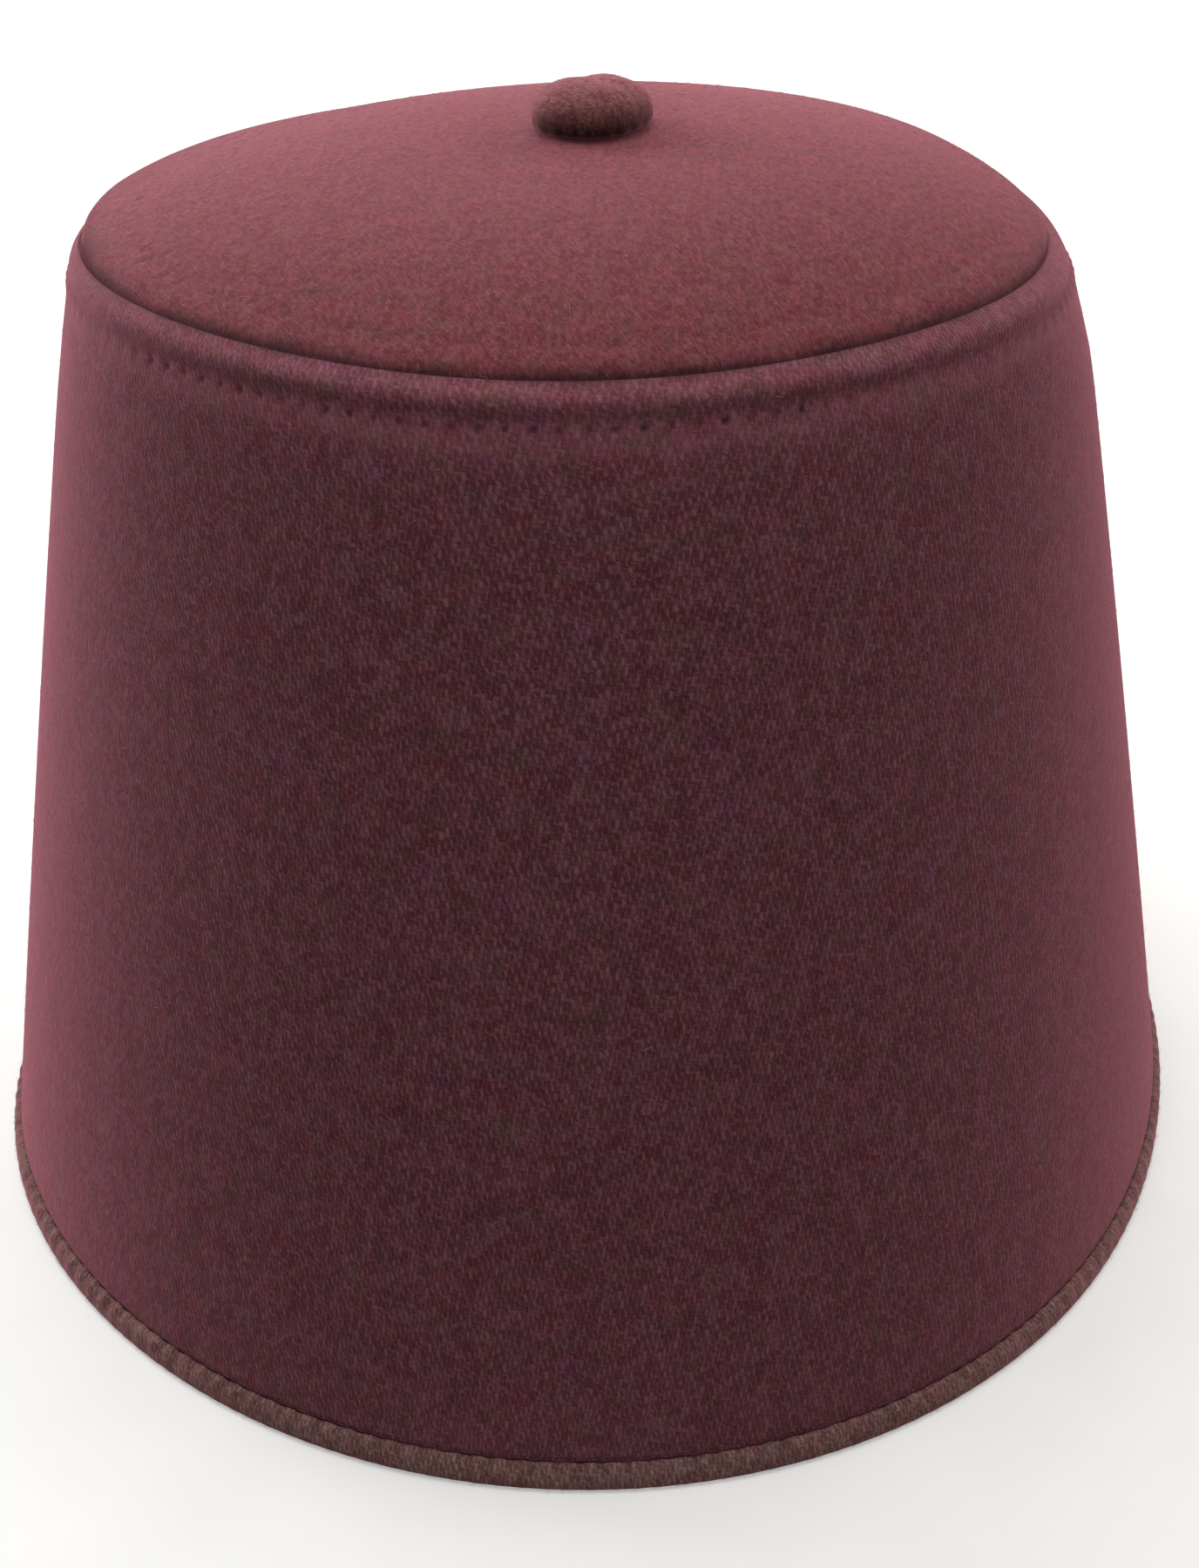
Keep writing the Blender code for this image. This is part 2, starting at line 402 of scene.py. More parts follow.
def cut_back_columns(last):
    """Cuts the level edges close to the back, where the side's two ends were joined."""
    select_edges(lambda one, other: one == other and one <= last)
    bm = bmesh.from_edit_mesh(bpy.context.object.data)
    for edge in bm.edges:
        if any(vert.co.y < 0.0 or abs(vert.co.x - TOP_LEAN) > BACK_BAND for vert in edge.verts):
            edge.select_set(False)
    bmesh.update_edit_mesh(bpy.context.object.data)
    bpy.ops.mesh.subdivide(number_cuts=EXTRA_CUTS)


cut_back_columns(fine_rows[0] - 1)
leave_edit_mode(side)

# %% [markdown]
# The weave has to follow the cloth, so each piece gets a UV map in real metres. The side was cut
# flat as the sector of a ring and closed at the back. Rolling it out again gives that sector: walk
# round the bottom oval, turn by the part of its bend that lies in the cloth, and go up the slope at
# right angles. The threads are straight on the flat cut, so on the hat they slowly turn: they run
# with the slope a little left of the front, and lean more and more towards the right.

# %% Where a vertex is: its angle round the oval and its length along the section
CLOTH_MAP = "cloth"


def move_vertices(piece, places):
    piece.data.vertices.foreach_set("co", places.astype(np.float32).ravel())
    piece.data.update()


def oval_angles(places, rings, rows):
    """The angle of each vertex on its own oval, 0 at the front and growing to the right."""
    ovals = np.array(rings)[rows]
    across = (places[:, 0] - ovals[:, 3]) / ovals[:, 0]
    back = (places[:, 1] - ovals[:, 4]) / ovals[:, 1]
    return np.arctan2(across, -back)


def on_oval(ring, angle):
    """Points of an oval at angles from the front, growing to the right."""
    across = ring.middle_x + ring.half_width * np.sin(angle)
    back = ring.middle_y - ring.half_depth * np.cos(angle)
    return np.column_stack([across, back, np.full_like(across, ring.height)])


def section_lengths(rings):
    """How far each row lies along the section, measured at the front."""
    front = np.array([(ring.half_depth, ring.height) for ring in rings])
    return np.concatenate([[0.0], np.cumsum(np.linalg.norm(np.diff(front, axis=0), axis=1))])


# %% Roll the side out flat
WARP_WITH_SLOPE = math.radians(-28.0)
ALL_ROUND = np.radians(np.arange(-186.0, 186.5, 0.5))


def unit(vectors):
    return vectors / np.linalg.norm(vectors, axis=1)[:, None]


def flat_sector():
    """The flat places of the bottom oval all round, and how far the slope is turned at each."""
    bottom = on_oval(crown_ring(0.0), ALL_ROUND)
    slope = unit(on_oval(crown_ring(SHOULDER_HEIGHT), ALL_ROUND) - bottom)
    steps = np.diff(bottom, axis=0)
    along = unit(steps)
    turns = np.einsum("ij,ij->i", np.diff(along, axis=0), slope[1:-1])
    turn = np.concatenate([[0.0], np.cumsum(turns), [np.sum(turns)]])
    turn -= np.interp(WARP_WITH_SLOPE, ALL_ROUND, turn)
    middle_turn = (turn[1:] + turn[:-1]) / 2.0
    lengths = np.linalg.norm(steps, axis=1)
    x = np.concatenate([[0.0], np.cumsum(lengths * np.cos(middle_turn))])
    y = np.concatenate([[0.0], np.cumsum(lengths * np.sin(middle_turn))])
    return x, y, turn


SECTOR = flat_sector()


def side_flat(angle, up):
    """The place on the flat cut of a point at an angle, up the slope by a length."""
    x, y, turn = (np.interp(angle, ALL_ROUND, values) for values in SECTOR)
    return np.column_stack([x - up * np.sin(turn), y + up * np.cos(turn)])


def corner_vertices(piece):
    """The vertex at each corner of each face."""
    corners = np.empty(len(piece.data.loops), np.int32)
    piece.data.loops.foreach_get("vertex_index", corners)
    return corners


def corner_angles(piece, angles):
    """Angles at face corners: a face across the back seam keeps going past half a turn."""
    at_corner = angles[corner_vertices(piece)]
    for face in piece.data.polygons:
        span = slice(face.loop_start, face.loop_start + face.loop_total)
        here = at_corner[span]
        if here.max() - here.min() > math.pi:
            at_corner[span] = np.where(here < 0.0, here + 2.0 * math.pi, here)
    return at_corner


def lay_cloth_map(piece, flat):
    layer = piece.data.uv_layers.new(name=CLOTH_MAP)
    layer.data.foreach_set("uv", flat.astype(np.float32).ravel())
    size = (flat.max(axis=0) - flat.min(axis=0)) / MM
    print(f"{piece.name}: cut from {size[0]:.0f} x {size[1]:.0f} mm of cloth")


side_rows_of = row_numbers(side)
side_angles = oval_angles(vertex_places(side), side_rings, side_rows_of)
side_lengths = section_lengths(side_rings)
side_along = side_lengths[side_rows_of]
lay_cloth_map(side, side_flat(corner_angles(side, side_angles), side_along[corner_vertices(side)]))

# %% [markdown]
# Stitches next. Every stitch pulls the cloth in where the needle went through, so the row reads as
# a line of small dark holes with soft puffs between them. The row is fine enough to move the
# vertices one by one: a pit at each hole, deeper here and shallower there, and a little swelling
# between pits. The thread was pulled hardest at the front, a little to the left. Two amounts are
# kept with the vertices, for the materials to read: how much painted shade each gets, in holes and
# grooves, and how much lighter it is painted, a painted highlight on ridges and a lighter hem.

# %% Pull a row of stitches into a piece of cloth
# Painted shade: how dark each vertex is painted, in needle holes, grooves and under the button.
PAINTED_SHADE = "crease"
# How much lighter each vertex is painted: a painted highlight on the lip and ridges, and a lighter hem.
LIGHTENED = "worn"


class StitchRow(NamedTuple):
    """A row of machine stitches, in metres along and across the row."""

    count: int
    along: float
    pit_depth: float
    pit_length: float
    pit_height: float
    puff: float
    weakest: float
    beside: float
    seed: int


PULLED_MOST = math.radians(-12.0)
PULLED_BEHIND = 0.3
FACING_FRONT = (0.83, 0.93)


def row_pull(row, angles, lengths):
    """How deep each vertex goes in, and how much of a hole it is, from 0 to 1."""
    chances = np.random.default_rng(row.seed).uniform(0.0, 1.0, row.count)
    strength = mix(row.weakest, 1.0, chances)
    facing = 0.5 + 0.5 * np.cos((np.arange(row.count) + 0.5) / row.count * 2.0 * math.pi - PULLED_MOST)
    strength = strength * mix(PULLED_BEHIND, 1.0, facing**3)
    strength = strength * mix(row.beside, 1.0, ease(*FACING_FRONT, facing))
    place = (angles / (2.0 * math.pi)) % 1.0 * row.count
    stitch = np.floor(place).astype(int) % row.count
    pitch = 2.0 * math.pi * SHOULDER_HALF_WIDTH / row.count
    sideways = (place % 1.0 - 0.5) * pitch / row.pit_length
    away = (lengths - row.along) / row.pit_height
    # The hole's amount shapes the stitch pit and also sets the needle hole's painted shade.
    hole = strength[stitch] * np.exp(-(sideways**2) - away**2)
    swell = 0.5 - 0.5 * np.cos(2.0 * math.pi * (place - 0.5))
    puff = row.puff * swell * np.exp(-((away / 3.0) ** 2))
    return row.pit_depth * hole - puff, hole


def shell_normals(piece):
    normals = np.empty(len(piece.data.vertices) * 3, np.float32)
    piece.data.vertices.foreach_get("normal", normals)
    return normals.reshape(-1, 3).astype(float)


def keep_amount(piece, name, amount):
    layer = piece.data.attributes.new(name, "FLOAT", "POINT")
    layer.data.foreach_set("value", np.clip(amount, 0.0, 1.0).astype(np.float32))


# %% [markdown]
# The seam isn't the same all round. At the front it gapes over a dark groove. Beside the hat it
# closes: the lip of the side lies flatter, and the tip's edge comes up level with it. Behind, the
# rim sits a little lower. Each change goes smoothly with the angle from the front. The side, the
# tip and their stitches all follow the same functions, so they stay together.

# %% How the seam changes round the hat
TIP_MIDDLE = (TOP_LEAN, 0.0)
GAPE_TURN = math.radians(4.0)
BACK_DROP = 0.7 * MM
BEHIND_OUT = 1.5 * MM
LIP_END = (125.0 * MM, 129.9 * MM)
# How the seam's width wavers: how many times all round, from where, and how strongly.
SEAM_WAVES = ((9.0, 1.0, 0.26), (23.0, 2.0, 0.2), (41.0, 0.3, 0.16))


def from_front(first, last, angles):
    """Goes from 0 to 1 between two angles from the front, in degrees, on the left and the right."""
    return ease(math.radians(first), math.radians(last), np.abs(angles))


def gape(angles):
    """How much the seam gapes: 1 at the front and the sides, 0 behind, where it lies flat."""
    return 1.0 - from_front(72.0, 88.0, np.abs(angles) + GAPE_TURN * np.sin(angles))


def back_drop(angles, share):
    """How much lower the rim lies behind, with a share of it away from the rim."""
    return BACK_DROP * share * from_front(95.0, 150.0, angles)


# How far the lip moves out beside the hat, in mm. Each row gives a height plus its inset, and the
# moves on the left and on the right.
LIP_MOVES = np.array(
    [
        (111.0, 0.0, 0.0),
        (119.3, 0.0, -0.8),
        (121.2, 0.1, -0.9),
        (122.5, 0.4, -0.7),
        (123.0, 0.0, -1.2),
        (123.8, -0.35, -1.6),
        (125.0, -0.75, -1.9),
        (126.2, -0.75, -1.9),
        (127.4, -0.5, -1.8),
        (128.7, -0.1, -1.5),
        (129.7, 0.3, -1.3),
        (129.9, 0.5, -1.2),
    ]
)


def lip_out(angles, height_and_inset):
    """How far out the puffed lip lies beside and behind, where it is flatter than at the front."""
    places, left_moves, right_moves = LIP_MOVES.T * MM
    left = np.interp(height_and_inset, places, left_moves)
    right = np.interp(height_and_inset, places, right_moves)
    rightness = 0.5 + 0.5 * np.sin(angles)
    behind = from_front(84.0, 106.0, angles) * (1.0 - rightness) * ease(*LIP_END, height_and_inset)
    return from_front(55.0, 88.0, angles) * mix(left, right, rightness) + behind * BEHIND_OUT


def move_out(places, by):
    """Moves places level, away from the middle of the crown."""
    from_middle = places[:, :2] - np.array([TIP_MIDDLE])
    places[:, :2] += from_middle / np.linalg.norm(from_middle, axis=1)[:, None] * by[:, None]


def uneven(angles):
    """Sewn by hand, the seam is wider here and narrower there: about 1, changing along the seam."""
    return 1.0 + sum(height * np.sin(count * angles + start) for count, start, height in SEAM_WAVES)


# %% Pull the side's stitches and join its two ends at the back
ROW_HEIGHT = 121.6 * MM
BACK_SEAM_WIDTH = 0.5 * MM
BACK_SEAM_DEPTH = 0.35 * MM
LOWER_FROM = (112.0 * MM, 124.0 * MM)
LIP_FROM = 123.0 * MM
LIP_INSETS = (0.55 * MM, SEAM_INSET)
CLOSED_DROP = 0.95 * MM
CLOSED_TURN = 0.2 * MM
ROLLED_RINGS = 8

rising = side_outer_count - ROLLED_RINGS
side_row_along = float(np.interp(ROW_HEIGHT, np.array(side_rows)[:rising, 0], side_lengths[:rising]))
side_stitch_row = StitchRow(
    count=SIDE_STITCHES,
    along=side_row_along,
    pit_depth=0.6 * MM,
    pit_length=0.42 * MM,
    pit_height=0.4 * MM,
    puff=0.07 * MM,
    weakest=0.45,
    beside=0.05,
    seed=11,
)
side_pull, side_holes = row_pull(side_stitch_row, side_angles, side_along)
on_outer_face = side_rows_of < side_outer_count
side_pull = np.where(on_outer_face, side_pull, 0.0)
side_holes = np.where(on_outer_face, side_holes, 0.0)
side_points = vertex_places(side)
from_back = np.where(side_points[:, 1] > 0.0, side_points[:, 0] - TOP_LEAN, 1.0) / BACK_SEAM_WIDTH
back_seam = np.where(on_outer_face, np.exp(-(from_back**2)), 0.0)
side_points -= shell_normals(side) * (side_pull + BACK_SEAM_DEPTH * back_seam)[:, None]
print(SIDE_STITCHES, "stitches, deepest pull", round(side_pull.max() / MM, 2), "mm")

# %% Lay the side's lip
side_heights_of, side_insets = np.array(side_rows)[side_rows_of].T
on_lip = on_outer_face & (side_heights_of > LIP_FROM)
move_out(side_points, np.where(on_outer_face, lip_out(side_angles, side_heights_of + side_insets), 0.0))
lip_end = np.where(on_lip, ease(*LIP_INSETS, side_insets), 0.0)
closed_drop = CLOSED_DROP - CLOSED_TURN * np.sin(side_angles)
side_points[:, 2] -= (1.0 - gape(side_angles)) * closed_drop * lip_end
side_points[:, 2] -= back_drop(side_angles, ease(*LOWER_FROM, side_heights_of))
move_vertices(side, side_points)
print("where the seam is closed, the lip drops by up to", round(closed_drop.max() / MM, 2), "mm")

# %% [markdown]
# The lip of the side and the ridge under the stitches are painted lighter: a painted highlight
# where they face the light, most of all at the front and the back. Round the row of stitches the
# cloth is painted lighter too, which lifts the shade of its pits, and towards the bottom edge it
# gets lighter and paler. The groove of the seam, the needle holes, the back seam and the thin line
# above the binding get painted shade.

# %% Paint shade into the side's grooves and holes, and paint its lip, ridges and hem lighter
# Painted shade in the seam's groove: how wide, how much is left where the seam is closed, and how
# sharply it comes in.
GROOVE_SHADE_WIDTH = 0.8 * MM
CLOSED_GROOVE_SHADE = 0.15
# Painted shade in a thin line above the binding, and how far up it reaches.
HEM_SHADE = 0.12
HEM_SHADE_REACH = 1.1 * MM
# Towards the bottom edge the cloth gets lighter, fading over this reach.
HEM_LIGHTENING = 0.24
HEM_LIGHTENING_REACH = 9.0 * MM
# Painted shade in the back seam.
BACK_SEAM_SHADE = 0.5
GROOVE_SHADE_POWER = 1.8
# Two painted highlights: how strong, how far below the stitches, and how wide. Both are in mm.
LIP_HIGHLIGHT = (0.72, -4.8, 1.5)
RIDGE_HIGHLIGHT = (0.9, 1.2, 1.6)
# Painted light round the row of stitches, which lifts the shade of its pits, and how far it reaches.
ROW_LIGHT = 0.7
ROW_LIGHT_REACH_MM = 5.0
# Beside the hat the painted highlight is weaker; at the front and the back it is full.
BESIDE_HIGHLIGHT = 0.4


def painted_highlight_line(below_row, most, middle, width):
    return most * np.exp(-(((below_row - middle) / width) ** 2))


# Painted shade in the seam's groove, wider where the seam wavers wider, weak where it is closed.
groove = (side_insets - SEAM_INSET) / (GROOVE_SHADE_WIDTH * uneven(side_angles)) + 1.0
groove = np.clip(groove, 0.0, 1.0) ** GROOVE_SHADE_POWER * mix(CLOSED_GROOVE_SHADE, 1.0, gape(side_angles))
above_binding = np.maximum(side_heights_of - BINDING_HEIGHT, 0.0)
# Painted shade in the thin line just above the binding.
hem_shade = HEM_SHADE * np.exp(-above_binding / HEM_SHADE_REACH)
# Painted shade of the side: needle holes, back seam, seam groove and the line above the binding.
shade = side_holes + BACK_SEAM_SHADE * back_seam + (groove + hem_shade) * on_outer_face
keep_amount(side, PAINTED_SHADE, shade)
# Painted lighter: a painted highlight on the lip and the ridge, painted light round the row, weaker
# beside the hat, and lighter towards the hem.
below_row = (side_row_along - side_along) / MM
row_light = ROW_LIGHT * np.exp(-np.abs(below_row) / ROW_LIGHT_REACH_MM)
ridge_highlight = painted_highlight_line(below_row, *RIDGE_HIGHLIGHT) + row_light
lightening = painted_highlight_line(below_row, *LIP_HIGHLIGHT) + ridge_highlight
lightening = lightening * mix(BESIDE_HIGHLIGHT, 1.0, np.cos(side_angles) ** 2)
lightening += HEM_LIGHTENING * np.exp(-above_binding / HEM_LIGHTENING_REACH)
keep_amount(side, LIGHTENED, lightening * on_outer_face)
print(f"more than half worn: {(lightening[on_outer_face] > 0.5).mean():.0%} of the vertices outside")

# %% [markdown]
# The tip is a shallow dome whose edge rolls down into the seam. It is extruded from the middle of
# its underside, out to the rim, and back over the top to a point. A fainter row of stitches runs
# round it, about as far from the seam as the one on the side.

# %% The rings of the tip
DOME_RISE = 8.8 * MM
DOME_POWER = 2.9
DOME_SHIFT = (2.4 * MM, 4.8 * MM)
ROLL_WIDTH = 2.8 * MM
ROLL_DROP = 1.2 * MM
TIP_ROW_INSET = 6.4 * MM
TIP_FALL = 30.0 * MM
TIP_STITCHES = 112
TIP_EDGE = crown_ring(SEAM_HEIGHT, SEAM_INSET + GAP)
TURNED_UNDER = 0.93
TIP_RINGS_BELOW = (0.03, 0.2, 0.45, 0.7, 0.85)
TIP_FINE = np.arange(0.0, 9.0, 0.4) * MM
TIP_COARSE = np.linspace(10.0 * MM, TIP_EDGE.half_width * 0.98, 22)


def roll_drop(from_edge):
    """How far the tip's edge has rolled down, at a distance from the edge."""
    rolled = np.clip(1.0 - from_edge / ROLL_WIDTH, 0.0, 1.0)
    return ROLL_DROP * (1.0 - np.sqrt(1.0 - rolled**2))


def tip_ring(share, lower=0.0):
    """A ring of the dome at a share of its half width, a thickness below its face."""
    rise = DOME_RISE * (1.0 - share**DOME_POWER)
    drop = roll_drop((1.0 - share) * TIP_EDGE.half_width)
    moved = (1.0 - share) ** 2
    return Ring(
        TIP_EDGE.half_width * share,
        TIP_EDGE.half_depth * share,
        SEAM_HEIGHT + rise - float(drop) - lower,
        TIP_EDGE.middle_x + DOME_SHIFT[0] * moved,
        DOME_SHIFT[1] * moved,
    )


def tip_section():
    """The rings from the underside's middle to the top's middle, and the first one on the top."""
    floor = SEAM_HEIGHT - TIP_EDGE_DEPTH
    below = [tip_ring(share, WALL) for share in TIP_RINGS_BELOW]
    rim = [tip_ring(TURNED_UNDER)._replace(height=floor), tip_ring(1.0)._replace(height=floor)]
    top = [tip_ring(1.0 - inset / TIP_EDGE.half_width) for inset in (*TIP_FINE, *TIP_COARSE)]
    return below + rim + top, len(below) + len(rim)


tip_rings, tip_first_top = tip_section()
print(len(tip_rings), "rings, top of the dome at", round(tip_ring(0.0).height / MM, 1), "mm")

# %% Extrude the tip
tip = extrude_body("tip_cloth", tip_rings, 3 * TIP_STITCHES)
close_to_point(len(tip_rings) - 1)
close_to_point(0)
cut_columns(tip_first_top, tip_first_top + len(TIP_FINE) - 1)
leave_edit_mode(tip)

# %% Lay the tip's cloth flat
tip_rows_of = row_numbers(tip)
tip_places = vertex_places(tip)
tip_angles = oval_angles(tip_places, tip_rings, tip_rows_of)
top_lengths = section_lengths(tip_rings)
tip_along = top_lengths[tip_rows_of]
on_top = tip_rows_of >= tip_first_top


def tip_flat():
    """The tip's flat cut: the dome pressed flat, so its rings keep their distance from the middle."""
    ovals = np.array(tip_rings)[tip_rows_of]
    from_middle = tip_places[:, :2] - ovals[:, 3:]
    to_middle = np.abs(top_lengths[-1] - top_lengths)[tip_rows_of]
    stretch = (to_middle + tip_rings[-1].half_depth) / ovals[:, 1]
    return from_middle * np.where(on_top, stretch, 1.0)[:, None]


lay_cloth_map(tip, tip_flat()[corner_vertices(tip)])

# %% Pull the tip's row of stitches
TIP_GROOVE_DEPTH = 0.08 * MM
TIP_GROOVE_WIDTH = 1.2 * MM
LONGER_ROUND_ROLL = 0.2 * MM

tip_stitch_row = StitchRow(
    count=TIP_STITCHES,
    along=top_lengths[tip_first_top] + TIP_ROW_INSET + LONGER_ROUND_ROLL,
    pit_depth=0.14 * MM,
    pit_length=0.5 * MM,
    pit_height=0.5 * MM,
    puff=0.02 * MM,
    weakest=0.0,
    beside=1.0,
    seed=12,
)
tip_pull, tip_holes = row_pull(tip_stitch_row, tip_angles, tip_along)
groove = TIP_GROOVE_DEPTH * np.exp(-(((tip_along - tip_stitch_row.along) / TIP_GROOVE_WIDTH) ** 2))
tip_pull = np.where(on_top, tip_pull + groove, 0.0)
tip_places -= shell_normals(tip) * tip_pull[:, None]
print(TIP_STITCHES, "stitches, deepest pull", round(tip_pull.max() / MM, 2), "mm")

# %% Lay the tip's edge to the lip and shade it
EDGE_RISE = 0.95
EDGE_REACH = 6.0 * MM
EDGE_OUT = 0.2 * MM
EDGE_SHADE = 0.72
EDGE_SHADE_START = 1.4 * MM
EDGE_SHADE_REACH = 0.75 * MM
CLOSED_EDGE_SHADE = 0.08
TIP_HOLE_SHADE = 0.15

tip_shares = np.array(tip_rings)[tip_rows_of, 0] / TIP_EDGE.half_width
from_rim = (1.0 - tip_shares) * TIP_EDGE.half_width
closed = np.where(on_top, 1.0 - gape(tip_angles), 0.0)
tip_places[:, 2] += closed * EDGE_RISE * roll_drop(from_rim)
tip_places[:, 2] -= back_drop(tip_angles, np.clip(1.0 - from_rim / TIP_FALL, 0.0, 1.0))
near_rim = np.where(on_top, np.clip(1.0 - from_rim / EDGE_REACH, 0.0, 1.0) ** 2, 0.0)
beyond = lip_out(tip_angles, LIP_MOVES[-1, 0] * MM)
move_out(tip_places, near_rim * beyond + closed * near_rim**4 * EDGE_OUT)
move_vertices(tip, tip_places)
# Painted shade on the tip's edge, where it rolls down into the seam, weak where the seam is closed, and
# in the tip's needle holes.
tip_from_edge = (tip_along - top_lengths[tip_first_top]) / uneven(tip_angles) ** 0.4
tip_shade = np.exp(-np.maximum(tip_from_edge - EDGE_SHADE_START, 0.0) / EDGE_SHADE_REACH)
tip_shade *= EDGE_SHADE * mix(CLOSED_EDGE_SHADE, 1.0, gape(tip_angles))
keep_amount(tip, PAINTED_SHADE, np.where(on_top, tip_holes * TIP_HOLE_SHADE + tip_shade, 0.0))
print("edge moved out by up to", round(float(beyond.max() / MM), 2), "mm behind")

# %% [markdown]
# The binding is a strip folded over the bottom edge. Its section is a U round the pressed edge of
# the side: rounded outside, square inside, where nothing shows. Small hand stitches hold its upper
# edge, and between them the fold swells into a row of beads.

# %% The section of the binding
BINDING_STITCHES = 190
BINDING_SPACING_MM = 0.3
BINDING_HOLE_SHADE = 0.4
SEWN_RINGS_BELOW_EDGE = 4
BINDING_ROWS_MM = (
    (0.0, 1.1),
    (0.0, 0.5),
    (0.25, -0.3),
    (0.9, -0.68),
    (1.8, -0.72),
    (2.6, -0.66),
    (3.05, -0.42),
    (3.22, -0.05),
    (3.2, 0.3),
)


def binding_section():
    """The rows round the U, starting below, and the count of those on the outer side."""
    outside = walk(curve_through(BINDING_ROWS_MM), lambda height, inset: BINDING_SPACING_MM) * MM
    top = BINDING_HEIGHT
    inner = WALL + BINDING_PROUD
    fold = [
        (BINDING_CLOTH, 0.3 * MM),
        (BINDING_CLOTH, inner - BINDING_CLOTH),
        (top, inner - BINDING_CLOTH),
        (top + 0.02 * MM, inner - 0.4 * MM),
        (top - 0.4 * MM, inner),
        (0.6 * MM, inner),
        (0.1 * MM, inner - 0.5 * MM),
        (0.0, inner - 1.1 * MM),
    ]
    return list(map(tuple, outside)) + fold, len(outside)


binding_rows, binding_outer_count = binding_section()
binding_rings = [crown_ring(height, inset) for height, inset in binding_rows]
binding = extrude_body("binding_cloth", binding_rings, 2 * BINDING_STITCHES)
close_to_loop(len(binding_rings) - 1)
cut_columns(2, binding_outer_count - 1)
leave_edit_mode(binding)

# %% Lay the binding's cloth and sew it down
binding_rows_of = row_numbers(binding)
binding_angles = oval_angles(vertex_places(binding), binding_rings, binding_rows_of)
binding_lengths = section_lengths(binding_rings)
binding_along = binding_lengths[binding_rows_of]


def rim_length(angle):
    """How far round the bottom oval an angle lies."""
    steps = np.linalg.norm(np.diff(on_oval(crown_ring(0.0), ALL_ROUND), axis=0), axis=1)
    return np.interp(angle, ALL_ROUND, np.concatenate([[0.0], np.cumsum(steps)]))


round_rim = rim_length(corner_angles(binding, binding_angles))
lay_cloth_map(binding, np.column_stack([round_rim, binding_along[corner_vertices(binding)]]))
binding_row = StitchRow(
    count=BINDING_STITCHES,
    along=float(binding_lengths[binding_outer_count - SEWN_RINGS_BELOW_EDGE]),
    pit_depth=0.4 * MM,
    pit_length=0.55 * MM,
    pit_height=0.75 * MM,
    puff=0.15 * MM,
    weakest=0.2,
    beside=1.0,
    seed=13,
)
binding_pull, binding_holes = row_pull(binding_row, binding_angles, binding_along)
on_outer_leg = binding_rows_of < binding_outer_count
binding_pull = np.where(on_outer_leg, binding_pull, 0.0)
move_vertices(binding, vertex_places(binding) - shell_normals(binding) * binding_pull[:, None])
# Painted shade in the binding's needle holes.
keep_amount(binding, PAINTED_SHADE, np.where(on_outer_leg, binding_holes * BINDING_HOLE_SHADE, 0.0))
print(BINDING_STITCHES, "stitches along the edge of the binding")

# %% [markdown]
# The button is a small bun of cloth gathered over a mould. It is turned from its foot outwards, and
# the gathers are shallow folds that fade out above its widest ring.

# %% Make the button
BUTTON_RADIUS = 7.95 * MM
BUTTON_UPPER = 4.7 * MM
BUTTON_LOWER = 1.4 * MM
BUTTON_FOOT_RADIUS = 6.6 * MM
BUTTON_POWER = 2.4
BUTTON_PLACE = (1.3 * MM, 7.8 * MM)
BUTTON_COLUMNS = 192
BUTTON_HOLLOW = 0.25 * MM
HOLLOW_SHARES = (0.08, 0.5, 0.85)
BUTTON_LAST_TURN = 0.485 * math.pi
BUTTON_STEPS = (12, 26)


def button_rings():
    foot = tip_ring(0.0).height + GAP
    widest = foot + BUTTON_LOWER
    rings = [(BUTTON_FOOT_RADIUS * share, foot + BUTTON_HOLLOW) for share in HOLLOW_SHARES]
    for turn in np.linspace(0.0, 0.5 * math.pi, BUTTON_STEPS[0]):
        tuck = (BUTTON_RADIUS - BUTTON_FOOT_RADIUS) * (1.0 - math.sin(turn))
        rings.append((BUTTON_RADIUS - tuck, widest - BUTTON_LOWER * math.cos(turn)))
    for turn in np.linspace(0.0, BUTTON_LAST_TURN, BUTTON_STEPS[1])[1:]:
        flat = 2.0 / BUTTON_POWER
        radius = BUTTON_RADIUS * math.cos(turn) ** flat
        rings.append((radius, widest + BUTTON_UPPER * math.sin(turn) ** flat))
    return [Ring(radius, radius, height, *BUTTON_PLACE) for radius, height in rings]


top_button_rings = button_rings()
button = extrude_body("button_cloth", top_button_rings, BUTTON_COLUMNS)
close_to_point(len(top_button_rings) - 1)
close_to_point(0)
leave_edit_mode(button)

# %% Gather the button and lay its cloth
GATHERS = 22
GATHER_DEPTH = 0.06 * MM
# Painted shade in the folds of the gathers.
GATHER_SHADE = 0.3
# The button's lumps: how many all round, from where, and how high.
LUMPS = ((3.0, 0.7, 0.14 * MM), (5.0, 0.0, 0.09 * MM))
LUMPS_FROM = (0.3 * MM, 5.0 * MM)
# Painted shade under the bun: how dark at its foot, and the heights over which it fades out.
UNDER_SHADE = 0.88
UNDER_HEIGHTS = (0.6 * MM, 4.9 * MM)

